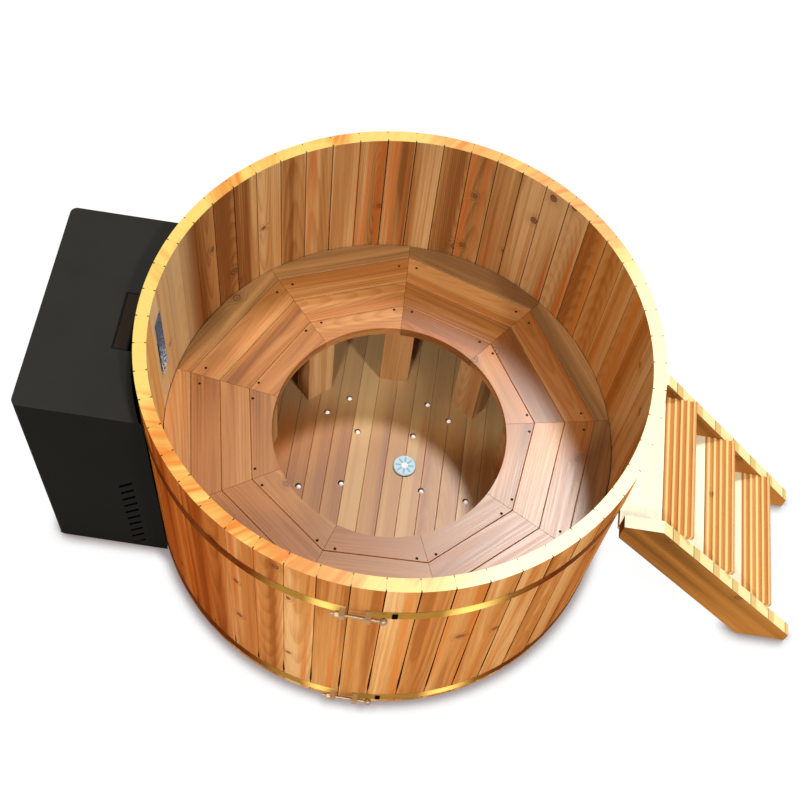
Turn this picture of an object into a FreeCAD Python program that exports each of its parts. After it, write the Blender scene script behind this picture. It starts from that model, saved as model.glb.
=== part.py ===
import FreeCAD, Part
import math
import operator
import os
import Sketcher

# A cedar barrel hot tub with a ring bench, an equipment cabinet and a set of steps, in millimetres.
# The origin is the middle of the tub on the ground. +Z is up, +X points to the steps, -X to the cabinet
# and -Y to the hoop tensioners at the front.

SIZES = (
    ("tub_radius", 750, "outside of the staves"),
    ("stave_thickness", 38, "thickness of the wall"),
    ("stave_height", 990, "ground to rim"),
    ("stave_count", 52, "staves round the tub"),
    ("stave_first_joint", 4.05, "angle of the first joint between staves, degrees"),
    ("stave_gap", 0.4, "open joint between two staves"),
    ("stave_bevel", 2, "eased corners of each stave"),
    ("croze_depth", 8, "groove in the staves that holds the floor"),
    ("croze_play", 0.5, "play of the floor in its groove"),
    ("floor_top", 75, "top of the floor above the ground"),
    ("floor_thickness", 38, "floor boards"),
    ("floor_pitch", 65.5, "width of one floor board with its joint"),
    ("floor_joint_x", 3, "place of the floor joint next to the middle"),
    ("floor_gap", 0.6, "open joint between floor boards"),
    ("floor_bevel", 1.2, "eased top corners of the floor boards"),
    ("joist_width", 36, "joists under the floor"),
    ("joist_drain_gap", 1.5, "middle joist to the drain"),
    ("joist_chamber_gap", 8, "next joists to the air chambers"),
    ("joist_outer_step", 600, "from the middle joist to the last one"),
    ("joist_play", 3, "joist ends to the staves"),
    ("hoop_width", 45, "steel bands"),
    ("hoop_thickness", 2, "steel bands"),
    ("hoop_play", 0.3, "band to staves"),
    ("upper_hoop_top", 838, "top edge of the upper band"),
    ("lower_hoop_top", 76, "top edge of the lower band"),
    ("tension_angle", -91.3, "direction of the tensioners, degrees"),
    ("tension_rod_radius", 5, "rod that draws a band together"),
    ("tension_rod_offset", 16, "rod axis to the outside of the staves"),
    ("tension_rod_end", 14, "threaded end of the rod beyond the nut"),
    ("tension_rod_reach", 77, "ball end of the rod, from the middle of the tensioner"),
    ("tension_ball_radius", 11, "ball end of the rod"),
    ("tension_play", 0.3, "rod to nut and lugs, nut to lug"),
    ("lug_spacing", 70, "between the middles of the two lugs"),
    ("lug_length", 16, "along the band"),
    ("lug_height", 28, "up the band"),
    ("lug_rise", 9, "lug above the rod axis"),
    ("nut_radius", 10, "over the corners"),
    ("nut_length", 10, "along the rod"),
    ("clip_angle", -83.3, "direction of the band end clips, degrees"),
    ("clip_width", 15, "along the band"),
    ("clip_height", 28, "up the band"),
    ("clip_thickness", 4, "out from the band"),
    ("bench_top", 448, "seat height above the ground"),
    ("bench_thickness", 38, "bench boards"),
    ("bench_inner_radius", 373, "foot well"),
    ("bench_wall_gap", 3, "bench to staves"),
    ("bench_segments", 9, "mitred segments of the bench"),
    ("bench_mitre_angle", 92, "direction of the first mitre joint, degrees"),
    ("bench_mitre_gap", 1, "open mitre joint"),
    ("bench_board_pitch", 93, "width of one bench board with its joint"),
    ("bench_board_gap", 0.8, "open joint between bench boards"),
    ("bench_first_board", 66, "foot well to the innermost joint between boards"),
    ("bench_bevel", 1.5, "eased long corners of the bench boards"),
    ("post_setback", 18, "front posts behind the edge of the bench"),
    ("post_width", 98, "front posts, rear posts and bearers"),
    ("post_depth", 70, "front posts along the radius"),
    ("rear_post_depth", 50, "rear posts along the radius"),
    ("rear_post_gap", 6, "rear posts to staves"),
    ("bearer_height", 60, "bearers under the mitre joints"),
    ("screw_inset", 55, "inner row of bench screws from the front of the posts"),
    ("screw_wall_inset", 88, "outer row of bench screws from the staves"),
    ("screw_side", 30, "bench screws to the mitre joint"),
    ("screw_head_radius", 4.3, "bench screws"),
    ("screw_head_height", 4, "bench screws"),
    ("screw_sink", 3, "screw heads below the seat"),
    ("screw_shank_radius", 2.5, "bench screws"),
    ("screw_length", 65, "bench screws under the head"),
    ("screw_play", 0.2, "screws to wood"),
    ("drain_x", 69, "floor drain"),
    ("drain_y", 58.5, "floor drain"),
    ("drain_flange_radius", 40, "floor drain"),
    ("drain_flange_thickness", 3, "floor drain"),
    ("drain_tail_radius", 24, "floor drain"),
    ("drain_bore_radius", 20, "floor drain"),
    ("drain_foot", 1.5, "underside of the drain above the ground"),
    ("drain_floor", 2, "bottom of the drain"),
    ("strainer_radius", 38, "cover of the drain"),
    ("strainer_thickness", 4, "cover of the drain"),
    ("strainer_spigot", 8, "part of the cover inside the drain"),
    ("strainer_wall", 3, "spigot wall"),
    ("strainer_slots", 8, "slots in the cover"),
    ("strainer_slot_width", 7, "slots in the cover"),
    ("strainer_hub_radius", 11, "solid middle of the cover"),
    ("strainer_rim", 7, "solid edge of the cover"),
    ("strainer_play", 0.4, "cover to drain"),
    ("small_pipe_radius", 12.5, "drain and air pipes"),
    ("small_pipe_wall", 2.5, "drain and air pipes"),
    ("small_pipe_z", 15, "drain and air pipes under the floor"),
    ("large_pipe_radius", 16, "water pipes in the cabinet"),
    ("large_pipe_wall", 3, "water pipes in the cabinet"),
    ("wall_hole_play", 0.5, "pipes and skimmer to the holes in the staves"),
    ("panel_hole_play", 2.5, "pipes and skimmer to the holes in the cabinet"),
    ("valve_offset", 150, "drain valve to the outside of the tub"),
    ("valve_length", 56, "drain valve"),
    ("valve_radius", 14, "drain valve"),
    ("valve_stem_radius", 5, "drain valve"),
    ("valve_stem_top", 44, "drain valve above the ground"),
    ("lever_length", 70, "handle of the drain valve"),
    ("lever_width", 16, "handle of the drain valve"),
    ("lever_thickness", 4, "handle of the drain valve"),
    ("lever_play", 0.3, "handle to stem"),
    ("outlet_reach", 25, "drain outlet beyond the cabinet"),
    ("outlet_collar", 3, "full width of the drain pipe beyond the cabinet"),
    ("outlet_radius", 12, "drain outlet for a hose"),
    ("jet_radius", 10.4, "air jets in the floor"),
    ("jet_hole_play", 0.3, "air jets in the floor"),
    ("jet_flange_radius", 12.5, "air jets under the floor"),
    ("jet_flange_thickness", 6, "air jets under the floor"),
    ("jet_recess", 9, "air jets below the top of the floor"),
    ("jet_bore_radius", 1.5, "air jets"),
    ("jet_dome", 5, "domed tops of the air jets"),
    ("chamber_height", 24, "air chambers under the floor"),
    ("chamber_wall", 2.5, "air chambers under the floor"),
    ("chamber_margin", 25, "air chambers round the jets"),
    ("chamber_joist_gap", 2, "front air chamber to the middle joist"),
    ("air_front_y", -98, "air pipe to the front chamber"),
    ("air_rear_y", 172, "air pipe to the rear chamber"),
    ("air_header_gap", 14.5, "air header to the curved cabinet panel"),
    ("air_header_z", 80, "air header in the cabinet"),
    ("blower_gap", 22, "air blower to the end wall"),
    ("blower_y", 220, "air blower"),
    ("blower_radius", 75, "air blower"),
    ("blower_height", 150, "air blower"),
    ("blower_wall", 10, "air blower"),
    ("blower_wheel_height", 50, "air blower"),
    ("blower_shaft_radius", 6, "air blower"),
    ("rotor_play", 0.4, "shafts in their bearings"),
    ("rotor_gap", 4, "turning wheels to their housings"),
    ("cabinet_depth", 290, "end wall to the outside of the tub"),
    ("cabinet_width", 682, "front to back"),
    ("cabinet_height", 900, "ground to top"),
    ("cabinet_sheet", 3, "cabinet walls"),
    ("cabinet_corner", 20, "rounded upright corners"),
    ("cabinet_tub_gap", 12, "cabinet to staves"),
    ("cabinet_wall_gap", 4, "ends of the cabinet walls to staves"),
    ("cabinet_play", 0.5, "pieces inside the cabinet walls"),
    ("tray_bottom", 34, "cabinet floor above the ground"),
    ("tray_thickness", 4, "cabinet floor"),
    ("tray_leg", 40, "feet of the cabinet floor"),
    ("tray_leg_setback", 60, "feet at the tub to the end of the cabinet walls"),
    ("louvre_count", 10, "vents in the front wall"),
    ("louvre_width", 45, "vents in the front wall"),
    ("louvre_height", 16, "vents in the front wall"),
    ("louvre_rise", 40, "right end of each vent above its left end"),
    ("louvre_pitch", 48, "vents in the front wall"),
    ("louvre_offset", 37, "left end of the vents from the outside of the tub"),
    ("louvre_z", 12, "lowest vent"),
    ("skimmer_gap", 1, "skimmer to the curved cabinet panel"),
    ("skimmer_depth", 46, "skimmer"),
    ("skimmer_front_y", -119, "skimmer"),
    ("skimmer_width", 193, "skimmer"),
    ("skimmer_height", 334, "skimmer"),
    ("skimmer_wall", 4, "skimmer"),
    ("skimmer_ledge", 3, "ledge under the lid"),
    ("throat_y", 9, "middle of the skimmer mouth"),
    ("throat_width", 56, "skimmer mouth"),
    ("throat_hoop_gap", 5, "skimmer mouth below the upper band"),
    ("throat_height", 160, "skimmer mouth"),
    ("throat_wall", 3, "skimmer mouth"),
    ("grille_overlap", 6, "cover of the skimmer mouth beyond its sides"),
    ("grille_drop", 27, "cover of the skimmer mouth below the mouth"),
    ("grille_height", 290, "cover of the skimmer mouth"),
    ("grille_play", 0.1, "cover of the skimmer mouth to the staves"),
    ("grille_thickness", 3, "cover of the skimmer mouth"),
    ("grille_slots", 20, "cover of the skimmer mouth"),
    ("grille_slot_height", 5, "cover of the skimmer mouth"),
    ("grille_border", 8, "cover of the skimmer mouth"),
    ("lid_thickness", 6, "hatch lid over the skimmer"),
    ("lid_play", 0.6, "hatch lid to the skimmer walls"),
    ("hinge_pin_radius", 1.4, "hatch lid"),
    ("hinge_pin_play", 0.3, "hatch lid"),
    ("filter_height", 280, "filter cartridge"),
    ("filter_play", 1, "filter cartridge to the skimmer"),
    ("suction_y", 0, "suction pipe"),
    ("suction_bend_z", 230, "suction pipe"),
    ("pump_offset", 130, "pump axis to the outside of the tub"),
    ("pump_z", 130, "pump axis"),
    ("pump_rear_y", -100, "joint between pump and motor"),
    ("pump_radius", 62, "pump casing"),
    ("pump_length", 60, "pump casing"),
    ("pump_wall", 8, "pump casing"),
    ("pump_cavity_radius", 50, "pump casing"),
    ("pump_port_length", 15, "pump ports"),
    ("pump_port_wall", 4, "pump ports"),
    ("motor_radius", 60, "pump motor"),
    ("motor_length", 190, "pump motor"),
    ("shaft_radius", 8, "pump shaft"),
    ("shaft_length", 150, "pump shaft inside the motor"),
    ("motor_foot_width", 100, "pump motor"),
    ("motor_foot_length", 130, "pump motor"),
    ("heater_z", 330, "heater axis"),
    ("heater_radius", 35, "heater"),
    ("heater_front_y", -105, "heater"),
    ("heater_margin", 2, "heater beyond its outlet"),
    ("heater_port", 12, "heater ports"),
    ("return_angle", 159.8, "direction of the water return, degrees"),
    ("return_elbow_gap", 52, "bend of the return pipe to the outside of the tub"),
    ("return_flange_radius", 30, "water return inside the tub"),
    ("return_flange_thickness", 7, "water return inside the tub"),
    ("return_reach", 20, "water return outside the staves"),
    ("control_depth", 80, "control box"),
    ("control_front_y", -150, "control box"),
    ("control_width", 200, "control box"),
    ("control_bottom", 480, "control box"),
    ("control_height", 260, "control box"),
    ("step_front_y", -334, "outside of the front stringer"),
    ("step_inner_width", 459, "between the stringers"),
    ("stringer_thickness", 38, "sides of the steps"),
    ("stringer_top", 695, "top of the stringers"),
    ("stringer_top_reach", 78, "level top of the stringers from the outside of the tub"),
    ("stringer_rear_low", 617, "lower corner at the tub"),
    ("stringer_foot_reach", 497, "rear of the foot from the outside of the tub"),
    ("stringer_toe_reach", 661, "front of the foot from the outside of the tub"),
    ("stringer_toe_height", 48, "upright front of the foot"),
    ("step_tub_gap", 0.5, "steps to staves"),
    ("tread_count", 3, "steps"),
    ("tread_top", 621, "top step above the ground"),
    ("tread_rise", 210, "between steps"),
    ("tread_reach", 187, "front of the top step from the outside of the tub"),
    ("tread_going", 184.5, "between step fronts"),
    ("tread_depth", 98, "ribbed boards"),
    ("tread_thickness", 28, "boards of the steps"),
    ("tread_nose", 8, "rounded fronts of the ribbed boards"),
    ("tread_groove_radius", 6.5, "grooves in the ribbed boards"),
    ("tread_groove_pitch", 20, "grooves in the ribbed boards"),
    ("tread_groove_rise", 2, "middle of the grooves above the boards"),
    ("step_board_depth", 92, "smooth boards"),
    ("step_board_gap", 2, "smooth to ribbed boards"),
    ("jet_1_x", -226, "air jet from the tub axis"),
    ("jet_1_y", 225, "air jet from the tub axis"),
    ("jet_2_x", -157, "air jet from the tub axis"),
    ("jet_2_y", 292, "air jet from the tub axis"),
    ("jet_3_x", -110, "air jet from the tub axis"),
    ("jet_3_y", 165, "air jet from the tub axis"),
    ("jet_4_x", 84, "air jet from the tub axis"),
    ("jet_4_y", 181, "air jet from the tub axis"),
    ("jet_5_x", 119, "air jet from the tub axis"),
    ("jet_5_y", 314, "air jet from the tub axis"),
    ("jet_6_x", 200, "air jet from the tub axis"),
    ("jet_6_y", 262, "air jet from the tub axis"),
    ("jet_7_x", -278, "air jet from the tub axis"),
    ("jet_7_y", -74, "air jet from the tub axis"),
    ("jet_8_x", -137, "air jet from the tub axis"),
    ("jet_8_y", -40, "air jet from the tub axis"),
    ("jet_9_x", 137, "air jet from the tub axis"),
    ("jet_9_y", -24, "air jet from the tub axis"),
    ("jet_10_x", 292, "air jet from the tub axis"),
    ("jet_10_y", -39, "air jet from the tub axis"),
    ("jet_11_x", -150, "air jet from the tub axis"),
    ("jet_11_y", -270, "air jet from the tub axis"),
    ("jet_12_x", 150, "air jet from the tub axis"),
    ("jet_12_y", -270, "air jet from the tub axis"),
)
JET_COUNT = 12
STAVE_GROUPS = ("staves_back_right", "staves_back_left", "staves_front_left", "staves_front_right")
BENCH_BOARDS = 4
MINIMUM_BOARD_SHARE = 0.3
X_AXIS = FreeCAD.Vector(1, 0, 0)
Y_AXIS = FreeCAD.Vector(0, 1, 0)
Z_AXIS = FreeCAD.Vector(0, 0, 1)
ORIGIN = FreeCAD.Vector(0, 0, 0)
TOUCH = 0.01

doc = FreeCAD.newDocument("barrel_hot_tub")
sheet = doc.addObject("Spreadsheet::Sheet", "dim")
for row, (alias, number, note) in enumerate(SIZES, 1):
    sheet.set(f"A{row}", alias)
    sheet.set(f"B{row}", str(number))
    sheet.setAlias(f"B{row}", alias)
    sheet.set(f"C{row}", note)
doc.recompute()
parts = []

# Sizes worked out from the driving dimensions.
OPERATIONS = {
    "+": operator.add, "-": operator.sub, "*": operator.mul, "/": operator.truediv, "^": operator.pow,
}


def size(alias):
    """One driving dimension as a number."""
    return float(sheet.get(alias))


def value(measure):
    """The number of a measure, or a plain number as it is."""
    return measure.number if isinstance(measure, Measure) else float(measure)


def combine(first, sign, second):
    """Two measures or numbers joined by an arithmetic sign."""
    number = OPERATIONS[sign](value(first), value(second))
    return Measure(f"({first} {sign} {second})", number)


class Measure:
    """A number together with the expression in the driving dimensions that gives it."""

    def __init__(self, text, number):
        self.text = text
        self.number = number

    def __str__(self):
        return self.text

    def __neg__(self):
        return Measure(f"(-{self.text})", -self.number)

    def __abs__(self):
        return Measure(f"abs({self.text})", abs(self.number))

    def __add__(self, other):
        return combine(self, "+", other)

    def __radd__(self, other):
        return combine(other, "+", self)

    def __sub__(self, other):
        return combine(self, "-", other)

    def __rsub__(self, other):
        return combine(other, "-", self)

    def __mul__(self, other):
        return combine(self, "*", other)

    def __rmul__(self, other):
        return combine(other, "*", self)

    def __truediv__(self, other):
        return combine(self, "/", other)

    def __rtruediv__(self, other):
        return combine(other, "/", self)

    def __pow__(self, other):
        return combine(self, "^", other)


class Dimensions:
    """The driving dimensions by name, each as a measure."""

    def __getattr__(self, alias):
        return Measure(f"dim.{alias}", size(alias))


def root(measure):
    """The square root of a measure."""
    return Measure(f"sqrt({measure})", math.sqrt(value(measure)))


def whole(measure):
    """A measure rounded to a whole number."""
    return Measure(f"round({measure})", round(value(measure)))


dim = Dimensions()


# Small helpers.
def keep(feature, label):
    """Name a finished sub-part and put it on the list of parts."""
    feature.Label = label
    parts.append(feature)
    return feature


def bind(feature, **measures):
    """Bind properties of a feature to measures."""
    for name, measure in measures.items():
        feature.setExpression(name, str(measure))
    return feature


def place(feature, x, y, z, axis=None):
    """Put a feature at a point given by measures, with its own Z turned to an axis."""
    if axis is not None:
        feature.Placement = FreeCAD.Placement(ORIGIN, FreeCAD.Rotation(Z_AXIS, axis))
    for letter, measure in zip("xyz", (x, y, z)):
        feature.setExpression(f"Placement.Base.{letter}", str(measure))
    return feature


def box(name, x, y, z):
    """A block between pairs of low and high measures."""
    feature = doc.addObject("Part::Box", name)
    for prop, (low, high) in zip(("Length", "Width", "Height"), (x, y, z)):
        feature.setExpression(prop, str(high - low))
    return place(feature, x[0], y[0], z[0])


def rod(name, start, axis, radius, length):
    """A cylinder from a start point along an axis."""
    feature = bind(doc.addObject("Part::Cylinder", name), Radius=radius, Height=length)
    return place(feature, *start, axis)


def fuse(name, *shapes):
    """Several features as one solid."""
    feature = doc.addObject("Part::MultiFuse", name)
    feature.Shapes = list(shapes)
    return feature


def cut(name, base, tool):
    """One feature less another."""
    feature = doc.addObject("Part::Cut", name)
    feature.Base = base
    feature.Tool = tool
    return feature


def solids(label, shapes):
    """A sub-part made of finished shapes."""
    feature = doc.addObject("Part::Feature", label)
    feature.Shape = shapes[0] if len(shapes) == 1 else Part.makeCompound(shapes)
    return keep(feature, label)


def new_body(name):
    """An empty body."""
    return doc.addObject("PartDesign::Body", name)


def sketch_on(body, role, lift=0):
    """A sketch on one of the body's own planes, lifted along its normal."""
    plane = next(item for item in body.Origin.OriginFeatures if item.Role == role)
    sketch = body.newObject("Sketcher::SketchObject", f"{body.Name}_outline")
    sketch.AttachmentSupport = (plane, [""])
    sketch.MapMode = "FlatFace"
    sketch.setExpression("AttachmentOffset.Base.z", str(lift))
    return sketch


def pin_point(sketch, geometry, position, x, y):
    """Hold one point of a sketch at a place given by measures."""
    for kind, measure in (("DistanceX", x), ("DistanceY", y)):
        constraint = Sketcher.Constraint(kind, -1, 1, geometry, position, value(measure))
        index = sketch.addConstraint(constraint)
        sketch.setExpression(f"Constraints[{index}]", str(measure))


def draw_polygon(sketch, corners):
    """A closed outline whose corners are pairs of measures."""
    points = [FreeCAD.Vector(value(x), value(y), 0) for x, y in corners]
    first = sketch.GeometryCount
    count = len(points)
    for index in range(count):
        sketch.addGeometry(Part.LineSegment(points[index], points[(index + 1) % count]))
    for index in range(count):
        following = first + (index + 1) % count
        sketch.addConstraint(Sketcher.Constraint("Coincident", first + index, 2, following, 1))
    for index, (x, y) in enumerate(corners):
        pin_point(sketch, first + index, 1, x, y)


def draw_rectangle(sketch, x, y):
    """A rectangle between pairs of low and high measures."""
    draw_polygon(sketch, ((x[0], y[0]), (x[1], y[0]), (x[1], y[1]), (x[0], y[1])))


def draw_circle(sketch, x, y, radius):
    """A circle given by measures."""
    centre = FreeCAD.Vector(value(x), value(y), 0)
    index = sketch.addGeometry(Part.Circle(centre, Z_AXIS, value(radius)))
    pin_point(sketch, index, 3, x, y)
    constraint = sketch.addConstraint(Sketcher.Constraint("Radius", index, value(radius)))
    sketch.setExpression(f"Constraints[{constraint}]", str(radius))


def pad(body, sketch, length, reverse=False):
    """Raise a sketch into a solid."""
    feature = body.newObject("PartDesign::Pad", f"{body.Name}_pad")
    feature.Profile = sketch
    feature.Reversed = reverse
    return bind(feature, Length=length)


def pocket(body, sketch, depth, reverse=False):
    """Sink a sketch into the solid."""
    feature = body.newObject("PartDesign::Pocket", f"{body.Name}_pocket")
    feature.Profile = sketch
    feature.Reversed = reverse
    return bind(feature, Length=depth)


def turn(body, sketch, angle=360, middle=False):
    """Turn a sketch about the upright axis."""
    feature = body.newObject("PartDesign::Revolution", f"{body.Name}_turning")
    feature.Profile = sketch
    feature.ReferenceAxis = (sketch, ["V_Axis"])
    feature.Midplane = middle
    return bind(feature, Angle=angle)


def turned(name, profile):
    """A body turned from pairs of radius and height measures."""
    body = new_body(name)
    sketch = sketch_on(body, "XZ_Plane")
    draw_polygon(sketch, profile)
    turn(body, sketch)
    return body


def dress_edges(body, kind, prop, measure, wanted):
    """Round or bevel the edges of a body's last feature that a test picks."""
    doc.recompute()
    base = body.Tip
    names = [f"Edge{number}" for number, edge in enumerate(base.Shape.Edges, 1) if wanted(edge)]
    feature = body.newObject(f"PartDesign::{kind}", f"{body.Name}_{kind.lower()}")
    feature.Base = (base, names)
    return bind(feature, **{prop: measure})


def runs_along(edge, axis):
    """Whether an edge is a straight line along an axis."""
    if edge.Curve.TypeId != "Part::GeomLine":
        return False
    return abs(edge.Curve.Direction.dot(axis)) > 1 - TOUCH


def near(first, second):
    """Whether two lengths are the same."""
    return abs(first - second) < TOUCH


def polar(radius, degrees, z=0.0):
    """A point at a distance and direction from the tub axis."""
    angle = math.radians(degrees)
    return FreeCAD.Vector(radius * math.cos(angle), radius * math.sin(angle), z)


def turned_copy(shape, degrees):
    """A copy of a shape, turned about the tub axis."""
    copy = shape.copy()
    copy.rotate(ORIGIN, Z_AXIS, degrees)
    return copy


def moved_copy(shape, x, y):
    """A copy of a shape, moved in plan."""
    copy = shape.copy()
    copy.translate(FreeCAD.Vector(x, y, 0))
    return copy


def prism(points, low, high):
    """An upright prism on a closed line of plan points."""
    corners = [FreeCAD.Vector(x, y, low) for x, y in points]
    face = Part.Face(Part.makePolygon(corners + corners[:1]))
    return face.extrude(FreeCAD.Vector(0, 0, high - low))


def board(x_low, x_high, half_length, low, high, bevel):
    """A board along Y with eased upper corners."""
    outline = (
        (x_low, low), (x_high, low), (x_high, high - bevel),
        (x_high - bevel, high), (x_low + bevel, high), (x_low, high - bevel),
    )
    corners = [FreeCAD.Vector(x, -half_length, z) for x, z in outline]
    face = Part.Face(Part.makePolygon(corners + corners[:1]))
    return face.extrude(FreeCAD.Vector(0, 2 * half_length, 0))


def pipe(points, radius, wall):
    """A pipe along straight runs, with ball elbows."""
    def run(run_radius):
        pieces = []
        for start, end in zip(points, points[1:]):
            pieces.append(Part.makeCylinder(run_radius, (end - start).Length, start, end - start))
        for elbow in points[1:-1]:
            pieces.append(Part.makeSphere(run_radius, elbow))
        return pieces[0].fuse(pieces[1:]) if len(pieces) > 1 else pieces[0]
    return run(radius), run(radius - wall)


# Values that several pieces share.
INNER = (dim.tub_radius - dim.stave_thickness)
FLOOR_LOW = (dim.floor_top - dim.floor_thickness)
BENCH_LOW = (dim.bench_top - dim.bench_thickness)
CABINET_X = (-dim.tub_radius - dim.cabinet_depth)
CABINET_HALF = (dim.cabinet_width / 2)
CABINET_EDGE = (dim.tub_radius + dim.cabinet_tub_gap)
WALL_TOP = (dim.cabinet_height - dim.cabinet_sheet)
TRAY_TOP = (dim.tray_bottom + dim.tray_thickness)
PANEL_OUT = CABINET_EDGE + dim.cabinet_sheet
SKIMMER_TUB_X = -(PANEL_OUT + dim.skimmer_gap)
SKIMMER_X = SKIMMER_TUB_X - dim.skimmer_depth
SKIMMER_BOTTOM = dim.cabinet_height - dim.skimmer_height
THROAT_TOP = dim.upper_hoop_top - dim.hoop_width - dim.throat_hoop_gap
THROAT_BOTTOM = THROAT_TOP - dim.throat_height
GRILLE_WIDTH = dim.throat_width + 2 * dim.grille_overlap
VALVE_X = -(dim.tub_radius + dim.valve_offset)
PUMP_X = -(dim.tub_radius + dim.pump_offset)
LOUVRE_X = -(dim.tub_radius + dim.louvre_offset)
AIR_HEADER_X = -(PANEL_OUT + dim.air_header_gap + dim.small_pipe_radius)
BLOWER_X = CABINET_X + dim.cabinet_sheet + dim.blower_gap + dim.blower_radius
POST_FRONT = dim.bench_inner_radius + dim.post_setback
JOIST_MIDDLE_Y = dim.drain_y - dim.drain_tail_radius - dim.joist_drain_gap - dim.joist_width / 2
STRINGER_TOP_X = dim.tub_radius + dim.stringer_top_reach
STRINGER_FOOT_X = dim.tub_radius + dim.stringer_foot_reach
STRINGER_TOE_X = dim.tub_radius + dim.stringer_toe_reach
TREAD_FRONT_X = dim.tub_radius + dim.tread_reach
STEP_INNER_Y = (dim.step_front_y + dim.stringer_thickness)
STEP_FAR_Y = (STEP_INNER_Y + dim.step_inner_width)
JET_PLACES = [(size(f"jet_{number}_x"), size(f"jet_{number}_y")) for number in range(1, JET_COUNT + 1)]
inner_radius = value(INNER)
floor_low = value(FLOOR_LOW)
stave_pitch = 360 / size("stave_count")
return_axis = polar(1, size("return_angle"))


def wall_cutters(play):
    """Holes for the skimmer mouth and the pipes, through the tub wall and the cabinet beside it."""
    outside = size("tub_radius") + 2 * size("cabinet_tub_gap")
    inside = inner_radius - 2 * size("stave_thickness")
    depth = outside - inside
    mouth = Part.makeBox(
        depth, size("throat_width") + 2 * play, size("throat_height") + 2 * play,
        FreeCAD.Vector(
            -outside, size("throat_y") - size("throat_width") / 2 - play, value(THROAT_BOTTOM) - play))
    cutters = [mouth]
    for y in (size("drain_y"), size("air_front_y"), size("air_rear_y")):
        start = FreeCAD.Vector(-outside, y, size("small_pipe_z"))
        cutters.append(Part.makeCylinder(size("small_pipe_radius") + play, depth, start, X_AXIS))
    start = polar(inside, size("return_angle"), size("heater_z"))
    cutters.append(Part.makeCylinder(size("large_pipe_radius") + play, depth, start, return_axis))
    return cutters


def cut_where_met(shape, cutters):
    """A shape less those cutters that reach it."""
    for cutter in cutters:
        if shape.BoundBox.intersect(cutter.BoundBox):
            shape = shape.cut(cutter)
    return shape.Solids[0] if len(shape.Solids) == 1 else shape


# The barrel: staves with a groove for the floor, floor boards and joists.
def make_staves():
    """One stave, copied round the tub in four groups."""
    pattern = new_body("stave_pattern")
    sketch = sketch_on(pattern, "XZ_Plane")
    groove = INNER + dim.croze_depth
    groove_top = dim.floor_top + dim.croze_play
    draw_polygon(sketch, (
        (INNER, 0), (dim.tub_radius, 0), (dim.tub_radius, dim.stave_height),
        (INNER, dim.stave_height), (INNER, groove_top), (groove, groove_top),
        (groove, FLOOR_LOW), (INNER, FLOOR_LOW)))
    turn(pattern, sketch, 360 / dim.stave_count - dim.stave_gap / dim.tub_radius * 180 / math.pi)

    def upright_corner(edge):
        """Whether an edge is an upright corner on the inner or outer face."""
        reach = math.hypot(edge.CenterOfMass.x, edge.CenterOfMass.y)
        on_face = near(reach, inner_radius) or near(reach, size("tub_radius"))
        return runs_along(edge, Z_AXIS) and on_face

    dress_edges(pattern, "Chamfer", "Size", dim.stave_bevel, upright_corner)
    doc.recompute()
    cutters = wall_cutters(size("wall_hole_play"))
    count = int(size("stave_count"))
    groups = len(STAVE_GROUPS)
    for group, label in enumerate(STAVE_GROUPS):
        numbers = range(round(group * count / groups), round((group + 1) * count / groups))
        staves = []
        for number in numbers:
            stave = turned_copy(pattern.Shape.Solids[0], size("stave_first_joint") + number * stave_pitch)
            staves.append(cut_where_met(stave, cutters))
        solids(label, staves)


def make_floor():
    """Floor boards cut to a disc that sits in the groove, on joists."""
    radius = inner_radius + size("croze_depth") - size("croze_play")
    pitch = size("floor_pitch")
    reach = radius - MINIMUM_BOARD_SHARE * pitch
    joint = size("floor_joint_x") - pitch * math.ceil((reach + size("floor_joint_x")) / pitch)
    edges = [-radius]
    while joint < reach:
        if joint > -reach:
            edges.append(joint)
        joint += pitch
    edges.append(radius)
    disc = Part.makeCylinder(radius, size("floor_thickness"), FreeCAD.Vector(0, 0, floor_low))
    holes = [Part.makeCylinder(
        size("drain_tail_radius") + size("croze_play"), size("floor_thickness"),
        FreeCAD.Vector(size("drain_x"), size("drain_y"), floor_low))]
    for x, y in JET_PLACES:
        holes.append(Part.makeCylinder(
            size("jet_radius") + size("jet_hole_play"), size("floor_thickness"),
            FreeCAD.Vector(x, y, floor_low)))
    half_gap = size("floor_gap") / 2
    boards = []
    for low, high in zip(edges, edges[1:]):
        blank = board(
            low + half_gap, high - half_gap, radius, floor_low, size("floor_top"), size("floor_bevel"))
        boards.append(cut_where_met(blank.common(disc), holes))
    solids("floor_boards", boards)

    half = size("joist_width") / 2
    middle = value(JOIST_MIDDLE_Y)
    clear = size("chamber_margin") + size("joist_chamber_gap") + half
    rear = max(y for _, y in JET_PLACES) + clear
    front = min(y for _, y in JET_PLACES) - clear
    outer_step = size("joist_outer_step")
    joists = []
    for y in (middle - outer_step, front, middle, rear, middle + outer_step):
        end = math.sqrt((inner_radius - size("joist_play")) ** 2 - (abs(y) + half) ** 2)
        joists.append(Part.makeBox(2 * end, 2 * half, floor_low, FreeCAD.Vector(-end, y - half, 0)))
    solids("floor_joists", joists)


# The hoops and what draws them together.
HOOP_IN = (dim.tub_radius + dim.hoop_play)
HOOP_OUT = (HOOP_IN + dim.hoop_thickness)
HOOPS = ("upper", "lower")


def hoop_middle(name):
    """Height of the middle of a hoop."""
    return size(f"{name}_hoop_top") - size("hoop_width") / 2


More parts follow.
